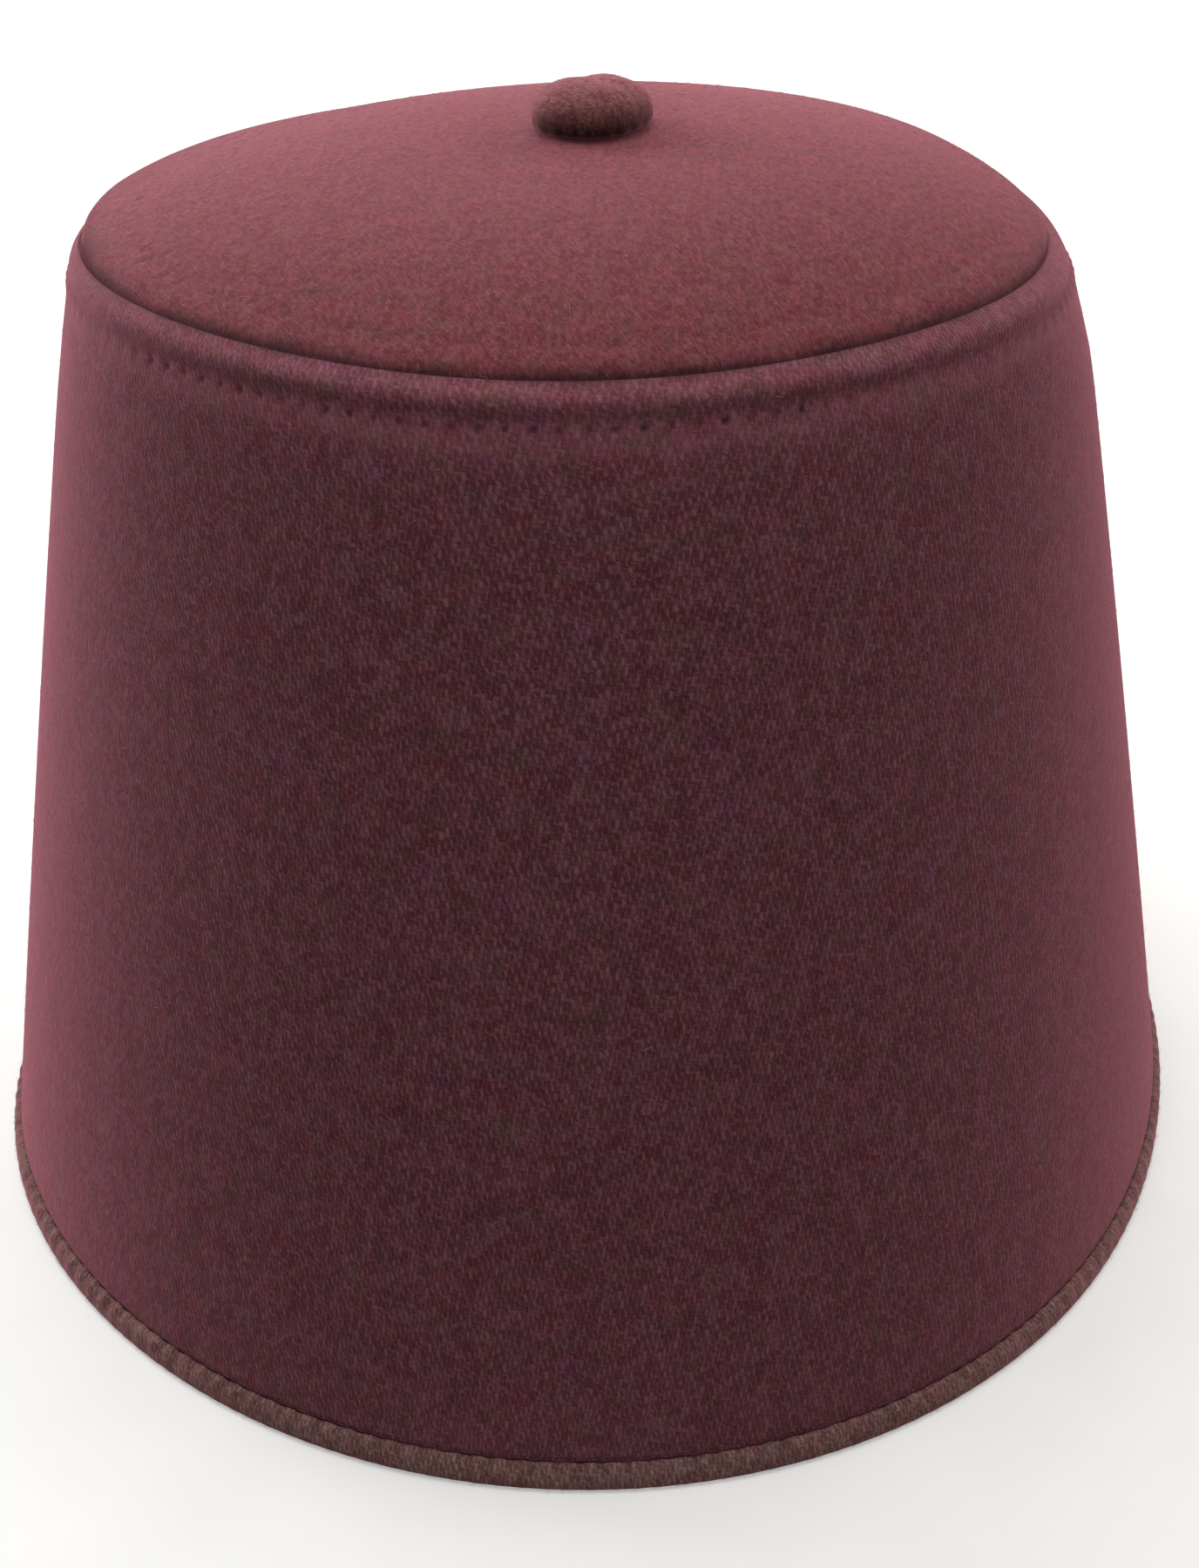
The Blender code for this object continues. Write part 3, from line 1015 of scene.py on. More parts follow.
button_rows_of = row_numbers(button)
button_places = vertex_places(button)
button_angles = oval_angles(button_places, top_button_rings, button_rows_of)
button_lengths = section_lengths(top_button_rings)
button_foot = top_button_rings[len(HOLLOW_SHARES)].height
button_widest = button_foot + BUTTON_LOWER
below_widest = np.clip((button_widest + 1.0 * MM - button_places[:, 2]) / BUTTON_LOWER, 0.0, 1.0)
folds = np.sin(GATHERS * button_angles + 2.0 * np.sin(3.0 * button_angles))
gathered = GATHER_DEPTH * folds * below_widest**2
lumps = sum(height * np.sin(count * button_angles + start) for count, start, height in LUMPS)
lumps *= ease(*LUMPS_FROM, np.hypot(*(button_places[:, :2] - np.array([BUTTON_PLACE])).T))
button_push = gathered + lumps * np.clip((button_places[:, 2] - button_widest) / MM + 1.5, 0.0, 1.0)
move_vertices(button, button_places + shell_normals(button) * button_push[:, None])
# Painted shade: darkest at the foot under the bun, and in the folds of the gathers.
under = UNDER_SHADE * (1.0 - ease(*UNDER_HEIGHTS, button_places[:, 2] - button_foot))
keep_amount(button, PAINTED_SHADE, np.clip(-folds, 0.0, 1.0) * below_widest**2 * GATHER_SHADE + under)


def button_flat():
    """The disc that the button was gathered from, laid flat."""
    away = (button_lengths[-1] - button_lengths + 0.5 * MM)[button_rows_of]
    return np.column_stack([away * np.sin(button_angles), -away * np.cos(button_angles)])


lay_cloth_map(button, button_flat()[corner_vertices(button)])

# %% [markdown]
# A hat that was sewn by hand is never quite even. The bottom oval sits a little turned against the
# tip. Each oval swells and shrinks by a fraction of a millimetre as it goes round, which the table
# gives as a few slow waves: how many crests, where the first one is, and how high it stands at the
# bottom and at the shoulder. The right shoulder was once pressed in towards the back, the dome is
# fuller on the right, and the seam comes nearer to the edge on the left. One function moves any
# point from the even shape to this one, so that the pieces stay together.


# %% Make the even shape a hand-made one
class Wave(NamedTuple):
    """A slow swelling round the hat: its crests, the first crest's azimuth, and two heights in mm."""

    crests: int
    azimuth: float
    bottom: float
    shoulder: float


WAVES = (
    Wave(crests=2, azimuth=-52.0, bottom=0.34, shoulder=0.0),
    Wave(crests=3, azimuth=-14.0, bottom=0.16, shoulder=0.0),
    Wave(crests=4, azimuth=27.0, bottom=0.84, shoulder=0.0),
    Wave(crests=5, azimuth=-14.0, bottom=0.17, shoulder=0.0),
    Wave(crests=2, azimuth=12.0, bottom=0.0, shoulder=0.13),
    Wave(crests=3, azimuth=37.0, bottom=0.0, shoulder=0.45),
    Wave(crests=4, azimuth=-39.0, bottom=0.0, shoulder=0.4),
    Wave(crests=5, azimuth=-1.0, bottom=0.0, shoulder=0.73),
)
BASE_TURN = math.radians(-2.0)
FULLNESS = 0.12 * MM
DOME_FULLER = 0.035
PRESSED_DEPTH = 0.5 * MM
PRESSED_AZIMUTH = math.radians(118.0)
PRESSED_SPREAD = math.radians(20.0)
PRESSED_FROM = 95.0 * MM
SEAM_OUT = 1.25 * MM
SEAM_UP = 0.25 * MM
SEAM_AZIMUTH = math.radians(-82.0)
SEAM_SPREAD = math.radians(38.0)
# At these shares of the tip's size, a point moves with the seam by these shares.
SEAM_REACH = ((0.5, 0.945, 1.005), (0.0, 1.0, 0.0))
SEAM_HEIGHTS = (119.0 * MM, 125.0 * MM)
SWELL_REACH = (0.6, 0.93)
DOME_FROM = (124.0 * MM, 126.0 * MM)


def solid_volume(piece):
    bm = bmesh.new()
    bm.from_mesh(piece.data)
    volume = bm.calc_volume(signed=True)
    bm.free()
    return volume


def near(azimuth, middle, spread):
    return np.exp(-(((azimuth - middle) / spread) ** 2))


def hand_made(places):
    x, y, z = places.T
    share = np.clip(z / SHOULDER_HEIGHT, 0.0, 1.0)
    turn = BASE_TURN * (1.0 - share)
    x, y = x * np.cos(turn) - y * np.sin(turn), x * np.sin(turn) + y * np.cos(turn)
    azimuth = np.arctan2(x, -y)
    reach = np.hypot((x - TOP_LEAN) / SHOULDER_HALF_WIDTH, y / SHOULDER_HALF_DEPTH)
    swell = FULLNESS
    for wave in WAVES:
        height = mix(wave.bottom, wave.shoulder, share) * MM
        swell = swell + height * np.cos(wave.crests * (azimuth - math.radians(wave.azimuth)))
    pressed = near(azimuth, PRESSED_AZIMUTH, PRESSED_SPREAD) * ease(PRESSED_FROM, SHOULDER_HEIGHT, z)
    swell = (swell - PRESSED_DEPTH * pressed) * ease(*SWELL_REACH, reach)
    at_seam = np.interp(reach, *SEAM_REACH) * ease(*SEAM_HEIGHTS, z)
    at_seam = at_seam * near(azimuth, SEAM_AZIMUTH, SEAM_SPREAD)
    grow = 1.0 + (swell + SEAM_OUT * at_seam) / np.maximum(np.hypot(x, y), MM)
    dome = DOME_FULLER * x * np.clip(1.0 - reach**2, 0.0, 1.0) * ease(*DOME_FROM, z)
    return np.column_stack([x * grow, y * grow, z + dome + SEAM_UP * at_seam])


for piece in (side, tip, binding, button):
    move_vertices(piece, hand_made(vertex_places(piece)))
    print(f"{piece.name}: {solid_volume(piece) * 1e6:.1f} cm3")
print(len(WAVES), "waves, and", PRESSED_DEPTH / MM, "mm pressed in at the right shoulder")

# %% [markdown]
# The threads of the stitches are real little pieces: a short rounded strand, modelled once and
# placed by Geometry Nodes on a cloud of points that carries a turn and a size for each copy. The
# copies are made real, so the piece is an ordinary mesh in the end.

# %% Helpers that place copies of one shape
TURN = "turn"
SIZE = "size"


def new_group(name):
    """An empty node group for a modifier, with its two ends: geometry in and geometry out."""
    group = bpy.data.node_groups.new(name, "GeometryNodeTree")
    for way in ("INPUT", "OUTPUT"):
        group.interface.new_socket("Geometry", in_out=way, socket_type="NodeSocketGeometry")
    start, end = (group.nodes.new(kind) for kind in ("NodeGroupInput", "NodeGroupOutput"))
    return group, start.outputs[0], end.inputs[0]


def read_amount(nodes, name, kind):
    reader = nodes.new("GeometryNodeInputNamedAttribute")
    reader.data_type = kind
    reader.inputs["Name"].default_value = name
    return reader.outputs["Attribute"]


def copy_onto(group, points, shape, end):
    """Puts a copy of a shape on each point and makes the copies real. Returns the copying node."""
    nodes, join = group.nodes, group.links.new
    source = nodes.new("GeometryNodeObjectInfo")
    source.inputs["Object"].default_value = shape
    copies = nodes.new("GeometryNodeInstanceOnPoints")
    real = nodes.new("GeometryNodeRealizeInstances")
    join(points, copies.inputs["Points"])
    join(source.outputs["Geometry"], copies.inputs["Instance"])
    join(copies.outputs[0], real.inputs[0])
    join(real.outputs[0], end)
    return copies


def placing_group(shape):
    """A node group that puts a copy of a shape on each vertex, turned and sized by attributes."""
    group, start, end = new_group("place_" + shape.name)
    copies = copy_onto(group, start, shape, end)
    for name, socket in ((TURN, "Rotation"), (SIZE, "Scale")):
        group.links.new(read_amount(group.nodes, name, "FLOAT_VECTOR"), copies.inputs[socket])
    return group


def apply_group(piece, group):
    deselect_everything()
    bpy.context.view_layer.objects.active = piece
    piece.select_set(True)
    modifier = piece.modifiers.new("copies", "NODES")
    modifier.node_group = group
    bpy.ops.object.modifier_apply(modifier="copies")
    print(f"{piece.name}: {triangles(piece)} triangles")
    return piece


def place_copies(name, shape, places, axes, sizes):
    """Joins copies of a shape: each has a place, three axes as a 3x3 matrix, and a size."""
    mesh = bpy.data.meshes.new(name)
    mesh.from_pydata([tuple(place) for place in places], [], [])
    turns = [tuple(Matrix(axis).to_euler()) for axis in axes]
    for attribute, values in ((TURN, turns), (SIZE, sizes)):
        layer = mesh.attributes.new(attribute, "FLOAT_VECTOR", "POINT")
        layer.data.foreach_set("vector", np.array(values, np.float32).ravel())
    piece = bpy.data.objects.new(name, mesh)
    bpy.context.scene.collection.objects.link(piece)
    return apply_group(piece, placing_group(shape))


# %% Model one strand
STRAND_HALF = ((0.0, 0.5), (0.34, 0.45), (0.46, 0.3), (0.5, 0.12))
STRAND_SIDES = 8


def make_strand(name):
    """A rounded strand, one long and one thick, along X: a tube whose ends taper to a point."""
    profile = [(-along, radius) for along, radius in STRAND_HALF[:0:-1]] + list(STRAND_HALF)
    rings = [Ring(radius, radius, along) for along, radius in profile]
    strand = extrude_body(name, rings, STRAND_SIDES)
    close_to_point(len(rings) - 1)
    close_to_point(0)
    leave_edit_mode(strand)
    quarter = math.pi / 2.0
    bpy.ops.transform.rotate(value=quarter, orient_axis="Y", center_override=(0.0, 0.0, 0.0))
    bpy.ops.object.transform_apply(location=False, rotation=True, scale=False)
    return strand


strand = make_strand("strand")


# %% Helpers that sew a row
SMALL_STEP = math.radians(0.5)
UNEVEN_STRANDS = (0.9, 1.08)


def row_frames(row_at, angles, tilt):
    """Places on a row, with axes: along the row, across it, and out of the cloth."""
    places = hand_made(row_at(angles, 0.0))
    along = unit(hand_made(row_at(angles + SMALL_STEP, 0.0)) - places)
    up = unit(hand_made(row_at(angles, 1.0)) - places)
    out = unit(np.cross(along, up))
    up = np.cross(out, along)
    turned = math.cos(tilt) * along + math.sin(tilt) * up
    across = np.cross(out, turned)
    return places, [np.column_stack(three) for three in zip(turned, across, out)]


def stitch_angles(count):
    """Where each needle hole is."""
    return 2.0 * math.pi * (np.arange(count) + 0.5) / count


def sew(name, row_at, angles, size, seed, sunk=0.0, tilt=0.0):
    """Lays a strand at each stitch, sunk into the cloth. A size is length, height and thickness."""
    places, axes = row_frames(row_at, angles, tilt)
    places -= np.array([axis[:, 2] for axis in axes]) * sunk
    sizes = np.random.default_rng(seed).uniform(*UNEVEN_STRANDS, (len(angles), 3)) * np.array(size)
    return place_copies(name, strand, places, axes, sizes)


# %% Sew the side
ROW_INSETS = (0.58 * MM, 0.8 * MM)
ROW_IN_LIP = ROW_HEIGHT + 0.9 * MM


def side_row_at(angles, higher):
    low = on_oval(crown_ring(ROW_HEIGHT, ROW_INSETS[0]), angles)
    high = on_oval(crown_ring(ROW_HEIGHT + 1.0 * MM, ROW_INSETS[1]), angles)
    places = mix(low, high, higher)
    move_out(places, lip_out(angles, ROW_IN_LIP))
    places[:, 2] -= back_drop(angles, ease(*LOWER_FROM, ROW_HEIGHT))
    return places


SIDE_STRAND = (1.0 * MM, 0.36 * MM, 0.3 * MM)
side_stitches = sew(
    "side_stitches", side_row_at, stitch_angles(SIDE_STITCHES), SIDE_STRAND, seed=21, sunk=0.42 * MM
)


# %% Sew the tip
def tip_row_at(angles, higher):
    inset = TIP_ROW_INSET + higher * MM
    places = on_oval(tip_ring(1.0 - inset / TIP_EDGE.half_width), angles)
    places[:, 2] -= back_drop(angles, 1.0 - inset / TIP_FALL)
    return places


TIP_STRAND = (0.8 * MM, 0.3 * MM, 0.26 * MM)
tip_stitches = sew(
    "tip_stitches", tip_row_at, stitch_angles(TIP_STITCHES), TIP_STRAND, seed=22, sunk=0.16 * MM
)


# %% Sew the binding down, with slanting stitches between its beads
SEWN_FROM = crown_ring(2.95 * MM, -0.42 * MM)
SEWN_TO = crown_ring(3.4 * MM, 0.0)


def binding_row_at(angles, higher):
    return mix(on_oval(SEWN_FROM, angles), on_oval(SEWN_TO, angles), higher)


BINDING_STRAND = (0.95 * MM, 0.42 * MM, 0.36 * MM)
BINDING_SLANT = math.radians(78.0)
between_beads = stitch_angles(BINDING_STITCHES) + math.pi / BINDING_STITCHES
binding_stitches = sew(
    "binding_stitches", binding_row_at, between_beads, BINDING_STRAND, seed=23, tilt=BINDING_SLANT
)
bpy.data.objects.remove(strand)

# %% [markdown]
# Wool is never bare: short fibres stand out of the weave all over, soften the outline and catch the
# light at the edges. One curved hair is modelled, and Geometry Nodes scatters it over a copy of
# each cloth, leaning well over, with its root inside the cloth. A few longer, bleached fibres lie
# flat on the side and the tip, as lint does.


# %% Model one hair
# At each ring of the hair: how far it leans, how high it is and its radius.
HAIR_PATH = ((0.0, -0.12, 0.017), (0.01, 0.28, 0.017), (0.08, 0.66, 0.014), (0.22, 0.96, 0.007))


def make_hair(name):
    """A hair one unit long that bends over to one side, three-sided and closed at both ends."""
    rings = [Ring(thin, thin, up, lean) for lean, up, thin in HAIR_PATH]
    hair = extrude_body(name, rings, 3)
    for last in (0, len(rings) - 1):
        select_edges(lambda one, other: one == other == last)
        bpy.ops.mesh.edge_face_add()
    return leave_edit_mode(hair)


hair = make_hair("hair")

# %% Scatter hairs over a cloth
OUTSIDE = "outside"
HAIR_FLOOR = 0.05 * MM
HAIR_ROLL = 0.6
ALL_OUTSIDE = 0.99


class Fuzz(NamedTuple):
    """How a cloth is haired: how many to a square metre, how long, and how far they lean over."""

    per_area: float
    shortest: float
    longest: float
    least_lean: float
    most_lean: float
    seed: int


def random_number(nodes, kind, low, high, seed):
    node = nodes.new("FunctionNodeRandomValue")
    node.data_type = kind
    sockets = [socket for socket in node.inputs if socket.enabled]
    sockets[0].default_value = low
    sockets[1].default_value = high
    node.inputs["Seed"].default_value = seed
    return next(socket for socket in node.outputs if socket.enabled)


def hair_group(hair, fuzz):
    """A node group that turns a cloth into the hairs that stand on its outside."""
    group, start, end = new_group("hairs")
    nodes, join = group.nodes, group.links.new
    chosen = nodes.new("FunctionNodeCompare")
    chosen.data_type = "FLOAT"
    chosen.operation = "GREATER_THAN"
    chosen.inputs["B"].default_value = ALL_OUTSIDE
    spread = nodes.new("GeometryNodeDistributePointsOnFaces")
    spread.inputs["Density"].default_value = fuzz.per_area
    spread.inputs["Seed"].default_value = fuzz.seed
    lean = nodes.new("FunctionNodeRotateRotation")
    lean.rotation_space = "LOCAL"
    least, most = (0.0, fuzz.least_lean, 0.0), (HAIR_ROLL, fuzz.most_lean, 2.0 * math.pi)
    leaning = random_number(nodes, "FLOAT_VECTOR", least, most, fuzz.seed + 1)
    length = random_number(nodes, "FLOAT", fuzz.shortest, fuzz.longest, fuzz.seed + 2)
    join(read_amount(nodes, OUTSIDE, "FLOAT"), chosen.inputs["A"])
    join(start, spread.inputs["Mesh"])
    join(chosen.outputs["Result"], spread.inputs["Selection"])
    join(spread.outputs["Rotation"], lean.inputs["Rotation"])
    join(leaning, lean.inputs["Rotate By"])
    copies = copy_onto(group, spread.outputs["Points"], hair, end)
    join(lean.outputs["Rotation"], copies.inputs["Rotation"])
    join(length, copies.inputs["Scale"])
    return group


def grow_hairs(name, piece, fuzz):
    """Copies a cloth and swaps the copy for its hairs."""
    deselect_everything()
    bpy.context.view_layer.objects.active = piece
    piece.select_set(True)
    bpy.ops.object.duplicate()
    hairs = bpy.context.object
    hairs.name = hairs.data.name = name
    apply_group(hairs, hair_group(hair, fuzz))
    places = vertex_places(hairs)
    places[:, 2] = np.maximum(places[:, 2], HAIR_FLOOR)
    move_vertices(hairs, places)
    return hairs


# %% Grow the short hairs and the lint
BUTTON_ROWS_BELOW = 6
keep_amount(side, OUTSIDE, on_outer_face)
keep_amount(tip, OUTSIDE, on_top)
keep_amount(binding, OUTSIDE, on_outer_leg)
keep_amount(button, OUTSIDE, button_rows_of > BUTTON_ROWS_BELOW)
LYING = (math.radians(45.0), math.radians(84.0))
side_hairs = grow_hairs("side_hairs", side, Fuzz(130e3, 0.4 * MM, 1.1 * MM, *LYING, seed=31))
tip_hairs = grow_hairs("tip_hairs", tip, Fuzz(330e3, 0.4 * MM, 1.2 * MM, *LYING, seed=32))
binding_hairs = grow_hairs("binding_hairs", binding, Fuzz(1600e3, 0.3 * MM, 1.0 * MM, *LYING, seed=33))
button_hairs = grow_hairs("button_hairs", button, Fuzz(4500e3, 0.25 * MM, 0.75 * MM, *LYING, seed=34))

FLAT = (math.radians(76.0), math.radians(86.0))
side_lint = grow_hairs("side_lint", side, Fuzz(5200.0, 0.6 * MM, 1.7 * MM, *FLAT, seed=41))
tip_lint = grow_hairs("tip_lint", tip, Fuzz(9000.0, 0.5 * MM, 1.6 * MM, *FLAT, seed=42))
bpy.data.objects.remove(hair)

# %% [markdown]
# Now the finish. All of it is one kind of cloth: a wool twill, fulled a little, spun from fibres of
# several reds. A twill of two over and one under is easy to write as numbers. Count the threads
# both ways, take the difference of the two counts by threes, and that says which thread is on top,
# and where along its float the point is. Floats are rounded and painted lighter, gaps get painted
# shade, each thread has its own tone, and fibres of other shades run through in soft patches. Every
# number here is a node, so the cloth has the same detail from near and far, and no picture is needed.


# %% Helpers that join shader nodes
class Wires:
    """Adds shader nodes to a material, one short call for each."""

    def __init__(self, material):
        material.use_nodes = True
        self.nodes = material.node_tree.nodes
        self.join = material.node_tree.links.new
        self.shader = self.nodes["Principled BSDF"]

    def put(self, socket, value):
        """Joins a socket to another node's output, or sets it to a plain value."""
        if isinstance(value, bpy.types.NodeSocket):
            self.join(value, socket)
        else:
            socket.default_value = value

    def number(self, operation, *values, clamp=False):
        node = self.nodes.new("ShaderNodeMath")
        node.operation = operation
        node.use_clamp = clamp
        for socket, value in zip(node.inputs, values):
            self.put(socket, value)
        return node.outputs[0]

    def vector(self, operation, *values):
        node = self.nodes.new("ShaderNodeVectorMath")
        node.operation = operation
        for socket, value in zip(node.inputs, values):
            self.put(socket, value)
        return node.outputs[0]

    def mixed(self, kind, share, low, high, blend="MIX"):
        """Mixes two numbers (FLOAT), vectors (VECTOR) or colours (RGBA)."""
        node = self.nodes.new("ShaderNodeMix")
        node.data_type = kind
        node.blend_type = blend
        sockets = [socket for socket in node.inputs if socket.enabled]
        for socket, value in zip(sockets, (share, low, high)):
            self.put(socket, value)
        return next(socket for socket in node.outputs if socket.enabled)

    def between(self, value, low, high, first=0.0, last=1.0):
        """Maps a number from one range to another, held at both ends."""
        node = self.nodes.new("ShaderNodeMapRange")
        for socket, entry in zip(node.inputs, (value, low, high, first, last)):
            self.put(socket, entry)
        return node.outputs[0]

    def noise(self, place, scale, detail=2.0, output="Fac"):
        node = self.nodes.new("ShaderNodeTexNoise")
        self.put(node.inputs["Vector"], place)
        node.inputs["Scale"].default_value = scale
        node.inputs["Detail"].default_value = detail
        return node.outputs[output]

    def chance(self, whole):
        """A random number from 0 to 1 for each whole number, or for each pair of them."""
        node = self.nodes.new("ShaderNodeTexWhiteNoise")
        pair = whole.type == "VECTOR"
        node.noise_dimensions = "2D" if pair else "1D"
        self.put(node.inputs["Vector" if pair else "W"], whole)
        return node.outputs["Value"]

    def grey(self, value):
        """The same number three times, as a colour."""
        node = self.nodes.new("ShaderNodeCombineColor")
        for socket in node.inputs:
            self.put(socket, value)
        return node.outputs[0]

    def split(self, vector):
        node = self.nodes.new("ShaderNodeSeparateXYZ")
        self.put(node.inputs[0], vector)
        return node.outputs[0], node.outputs[1]

    def joined(self, x, y):
        node = self.nodes.new("ShaderNodeCombineXYZ")
        self.put(node.inputs[0], x)
        self.put(node.inputs[1], y)
        return node.outputs[0]

    def cloth_place(self):
        node = self.nodes.new("ShaderNodeUVMap")
        node.uv_map = CLOTH_MAP
        return node.outputs[0]

    def object_place(self):
        return self.nodes.new("ShaderNodeTexCoord").outputs["Object"]

    def attribute(self, name):
        node = self.nodes.new("ShaderNodeAttribute")
        node.attribute_name = name
        return node.outputs["Fac"]

    def bump(self, height, distance, strength=1.0):
        node = self.nodes.new("ShaderNodeBump")
        node.inputs["Strength"].default_value = strength
        node.inputs["Distance"].default_value = distance
        self.put(node.inputs["Height"], height)
        self.put(self.shader.inputs["Normal"], node.outputs[0])


# %% The twill, counted in threads
class Twill(NamedTuple):
    """What a point of the cloth shows: its height, its grain, its thread's and its float's tone."""

    height: object
    grain: object
    thread_tone: object
    float_tone: object


# Widths, heights and drops are in threads. The last two say how finely the fibres of a thread of
# each kind run, across it and along it.
FLOAT_WIDTH = 0.66
FLOAT_ROUND = 1.2
FLOAT_LEAN = 0.22
FLOAT_DROP = 0.6
WEFT_HEIGHT = 0.5
WEFT_DROP = 0.5
WEFT_TONES_FROM = 500.5
TWIST = 0.45
WARP_FIBRES = (2.8, 0.8)
WEFT_FIBRES = (0.9, 2.8)


def rounded(wires, across, width=1.0):
    """The height of a thread's round back, from 1 in its middle to 0 at its edges."""
    sideways = wires.number("MULTIPLY", across, 2.0 / width)
    square = wires.number("MULTIPLY", sideways, sideways)
    return wires.number("POWER", wires.number("SUBTRACT", 1.0, square, clamp=True), FLOAT_ROUND)


def arched(wires, along, drop):
    """How a float bends down towards both its ends."""
    square = wires.number("MULTIPLY", along, along)
    return wires.number("SUBTRACT", 1.0, wires.number("MULTIPLY", square, drop))


def twisted(wires, threads, across, along):
    """A place in the yarn's own fibres, which wind up and to the left round it."""
    x, y = wires.split(threads)
    wound = wires.number("ADD", x, wires.number("MULTIPLY", y, TWIST))
    return wires.joined(wires.number("MULTIPLY", wound, across), wires.number("MULTIPLY", y, along))


def weave_twill(wires, threads):
    """Two over and one under, one thread further on in each next row."""
    x, y = wires.split(threads)
    column, row = wires.number("FLOOR", x), wires.number("FLOOR", y)
    sideways = wires.number("SUBTRACT", wires.number("SUBTRACT", x, column), 0.5)
    upwards = wires.number("SUBTRACT", wires.number("SUBTRACT", y, row), 0.5)
    turn = wires.number("FLOORED_MODULO", wires.number("SUBTRACT", column, row), 3.0)
    weft_up = wires.number("LESS_THAN", turn, 0.5)
    first_half = wires.number("GREATER_THAN", turn, 1.5)
    on_float = wires.number("SUBTRACT", wires.number("ADD", upwards, 0.5), first_half)
    leaning = wires.number("ADD", sideways, wires.number("MULTIPLY", on_float, FLOAT_LEAN))
    warp = rounded(wires, leaning, FLOAT_WIDTH)
    warp = wires.number("MULTIPLY", warp, arched(wires, on_float, FLOAT_DROP))
    on_short = wires.number("MULTIPLY", sideways, 2.0)
    weft = wires.number("MULTIPLY", rounded(wires, upwards), arched(wires, on_short, WEFT_DROP))
    height = wires.mixed("FLOAT", weft_up, warp, wires.number("MULTIPLY", weft, WEFT_HEIGHT))
    thread = wires.mixed("FLOAT", weft_up, column, wires.number("ADD", row, WEFT_TONES_FROM))
    piece = wires.joined(column, wires.number("ADD", row, first_half))
    warp_fibres, weft_fibres = (twisted(wires, threads, *way) for way in (WARP_FIBRES, WEFT_FIBRES))
    along = wires.mixed("VECTOR", weft_up, warp_fibres, weft_fibres)
    return Twill(height, wires.noise(along, 1.0, 3.0), wires.chance(thread), wires.chance(piece))


# %% [markdown]
# The wool was dyed before it was spun, and unevenly. So the colour of a fibre is a red that turns
# plum in some soft patches and brown in others, two noises a few millimetres wide. On top of that
# come painted shade between the threads and painted light on the floats, pale fibres (partly a
# painted sheen) where the yarn stands up, a painted highlight on the side's lip and ridges, a
# lighter, paler hem, and near-black painted shade in holes, grooves and under the button. The three
# shades of each cloth were chosen against the photograph.

# %% The shades of the wool
PLUM_PATCHES = 300.0
BROWN_PATCHES = 270.0
MOTTLE_PATCHES = 240.0
# Between which values of its noise each patch comes in.
PLUM_RANGE = (0.4, 0.7)
BROWN_RANGE = (0.43, 0.73)
MOTTLE_RANGE = (0.3, 0.7)
MOTTLE = (0.86, 1.14)
PATCHES_APART = (3.1, 1.7, 0.0)
MOST_OTHER = 0.85
FLOAT_UNEVEN = 0.16
# Between which heights of the yarn the painted light (dark gaps to lit floats) and the pale
# fibres (partly a painted sheen) grow, and up to what.
LIT_HEIGHTS = (-0.2, 1.2)
LIT = (0.56, 1.16)
PALE_HEIGHTS = (0.2, 1.2)
PALE_SHARE = 0.5
# How much lighter and paler the lightened cloth is: the painted highlight and the lighter hem.
LIGHTENED_MOST = 1.65
LIGHTENED_PALER = 0.08
# The painted shade: how far it darkens, and the near-black colour that it darkens to.
PAINTED_SHADE_DARKNESS = 0.94
PAINTED_SHADE_COLOUR = (0.004, 0.0015, 0.002)


class Shades(NamedTuple):
    """The spun reds, and the pale fibres on top (partly a painted sheen), as linear colours."""

    red: tuple
    plum: tuple
    brown: tuple
    pale: tuple


def opaque(colour):
    return (*colour, 1.0)


def fibre_colour(wires, weave, place, raised, shades):
    """Three reds in patches, painted shade between threads, pale fibres and painted sheen on top."""
    uneven = wires.number("MULTIPLY", wires.number("SUBTRACT", weave.float_tone, 0.5), FLOAT_UNEVEN)
    plum = wires.number("ADD", wires.noise(place, PLUM_PATCHES), uneven)
    plum = wires.between(plum, *PLUM_RANGE, 0.0, MOST_OTHER)
    colour = wires.mixed("RGBA", plum, opaque(shades.red), opaque(shades.plum))
    elsewhere = wires.vector("ADD", place, PATCHES_APART)
    brown = wires.number("SUBTRACT", wires.noise(elsewhere, BROWN_PATCHES), uneven)
    brown = wires.between(brown, *BROWN_RANGE, 0.0, MOST_OTHER)
    colour = wires.mixed("RGBA", brown, colour, opaque(shades.brown))
    worn = wires.attribute(LIGHTENED)
    # Painted light and shade from the yarn's height: dark in the gaps between threads, light on the
    # floats. The mottle is the wool's own.
    lit = wires.between(raised, *LIT_HEIGHTS, *LIT)
    mottle = wires.between(wires.noise(place, MOTTLE_PATCHES, 3.0), *MOTTLE_RANGE, *MOTTLE)
    lit = wires.number("MULTIPLY", lit, mottle)
    # Painted highlight on the side's lip and ridges, and a lighter hem, from the lightened amount.
    lit = wires.number("MULTIPLY", lit, wires.between(worn, 0.0, 1.0, 1.0, LIGHTENED_MOST))
    colour = wires.mixed("RGBA", 1.0, colour, wires.grey(lit), blend="MULTIPLY")
    # Pale fibres where the yarn stands up, partly a painted sheen; the lightened cloth is paler too.
    pale = wires.between(raised, *PALE_HEIGHTS, 0.0, PALE_SHARE)
    pale = wires.number("ADD", pale, wires.number("MULTIPLY", worn, LIGHTENED_PALER))
    colour = wires.mixed("RGBA", pale, colour, opaque(shades.pale))
    # Painted shade: near black in needle holes, seam grooves, above the binding and under the button.
    hole = wires.number("MULTIPLY", wires.attribute(PAINTED_SHADE), PAINTED_SHADE_DARKNESS, clamp=True)
    return wires.mixed("RGBA", hole, colour, opaque(PAINTED_SHADE_COLOUR))


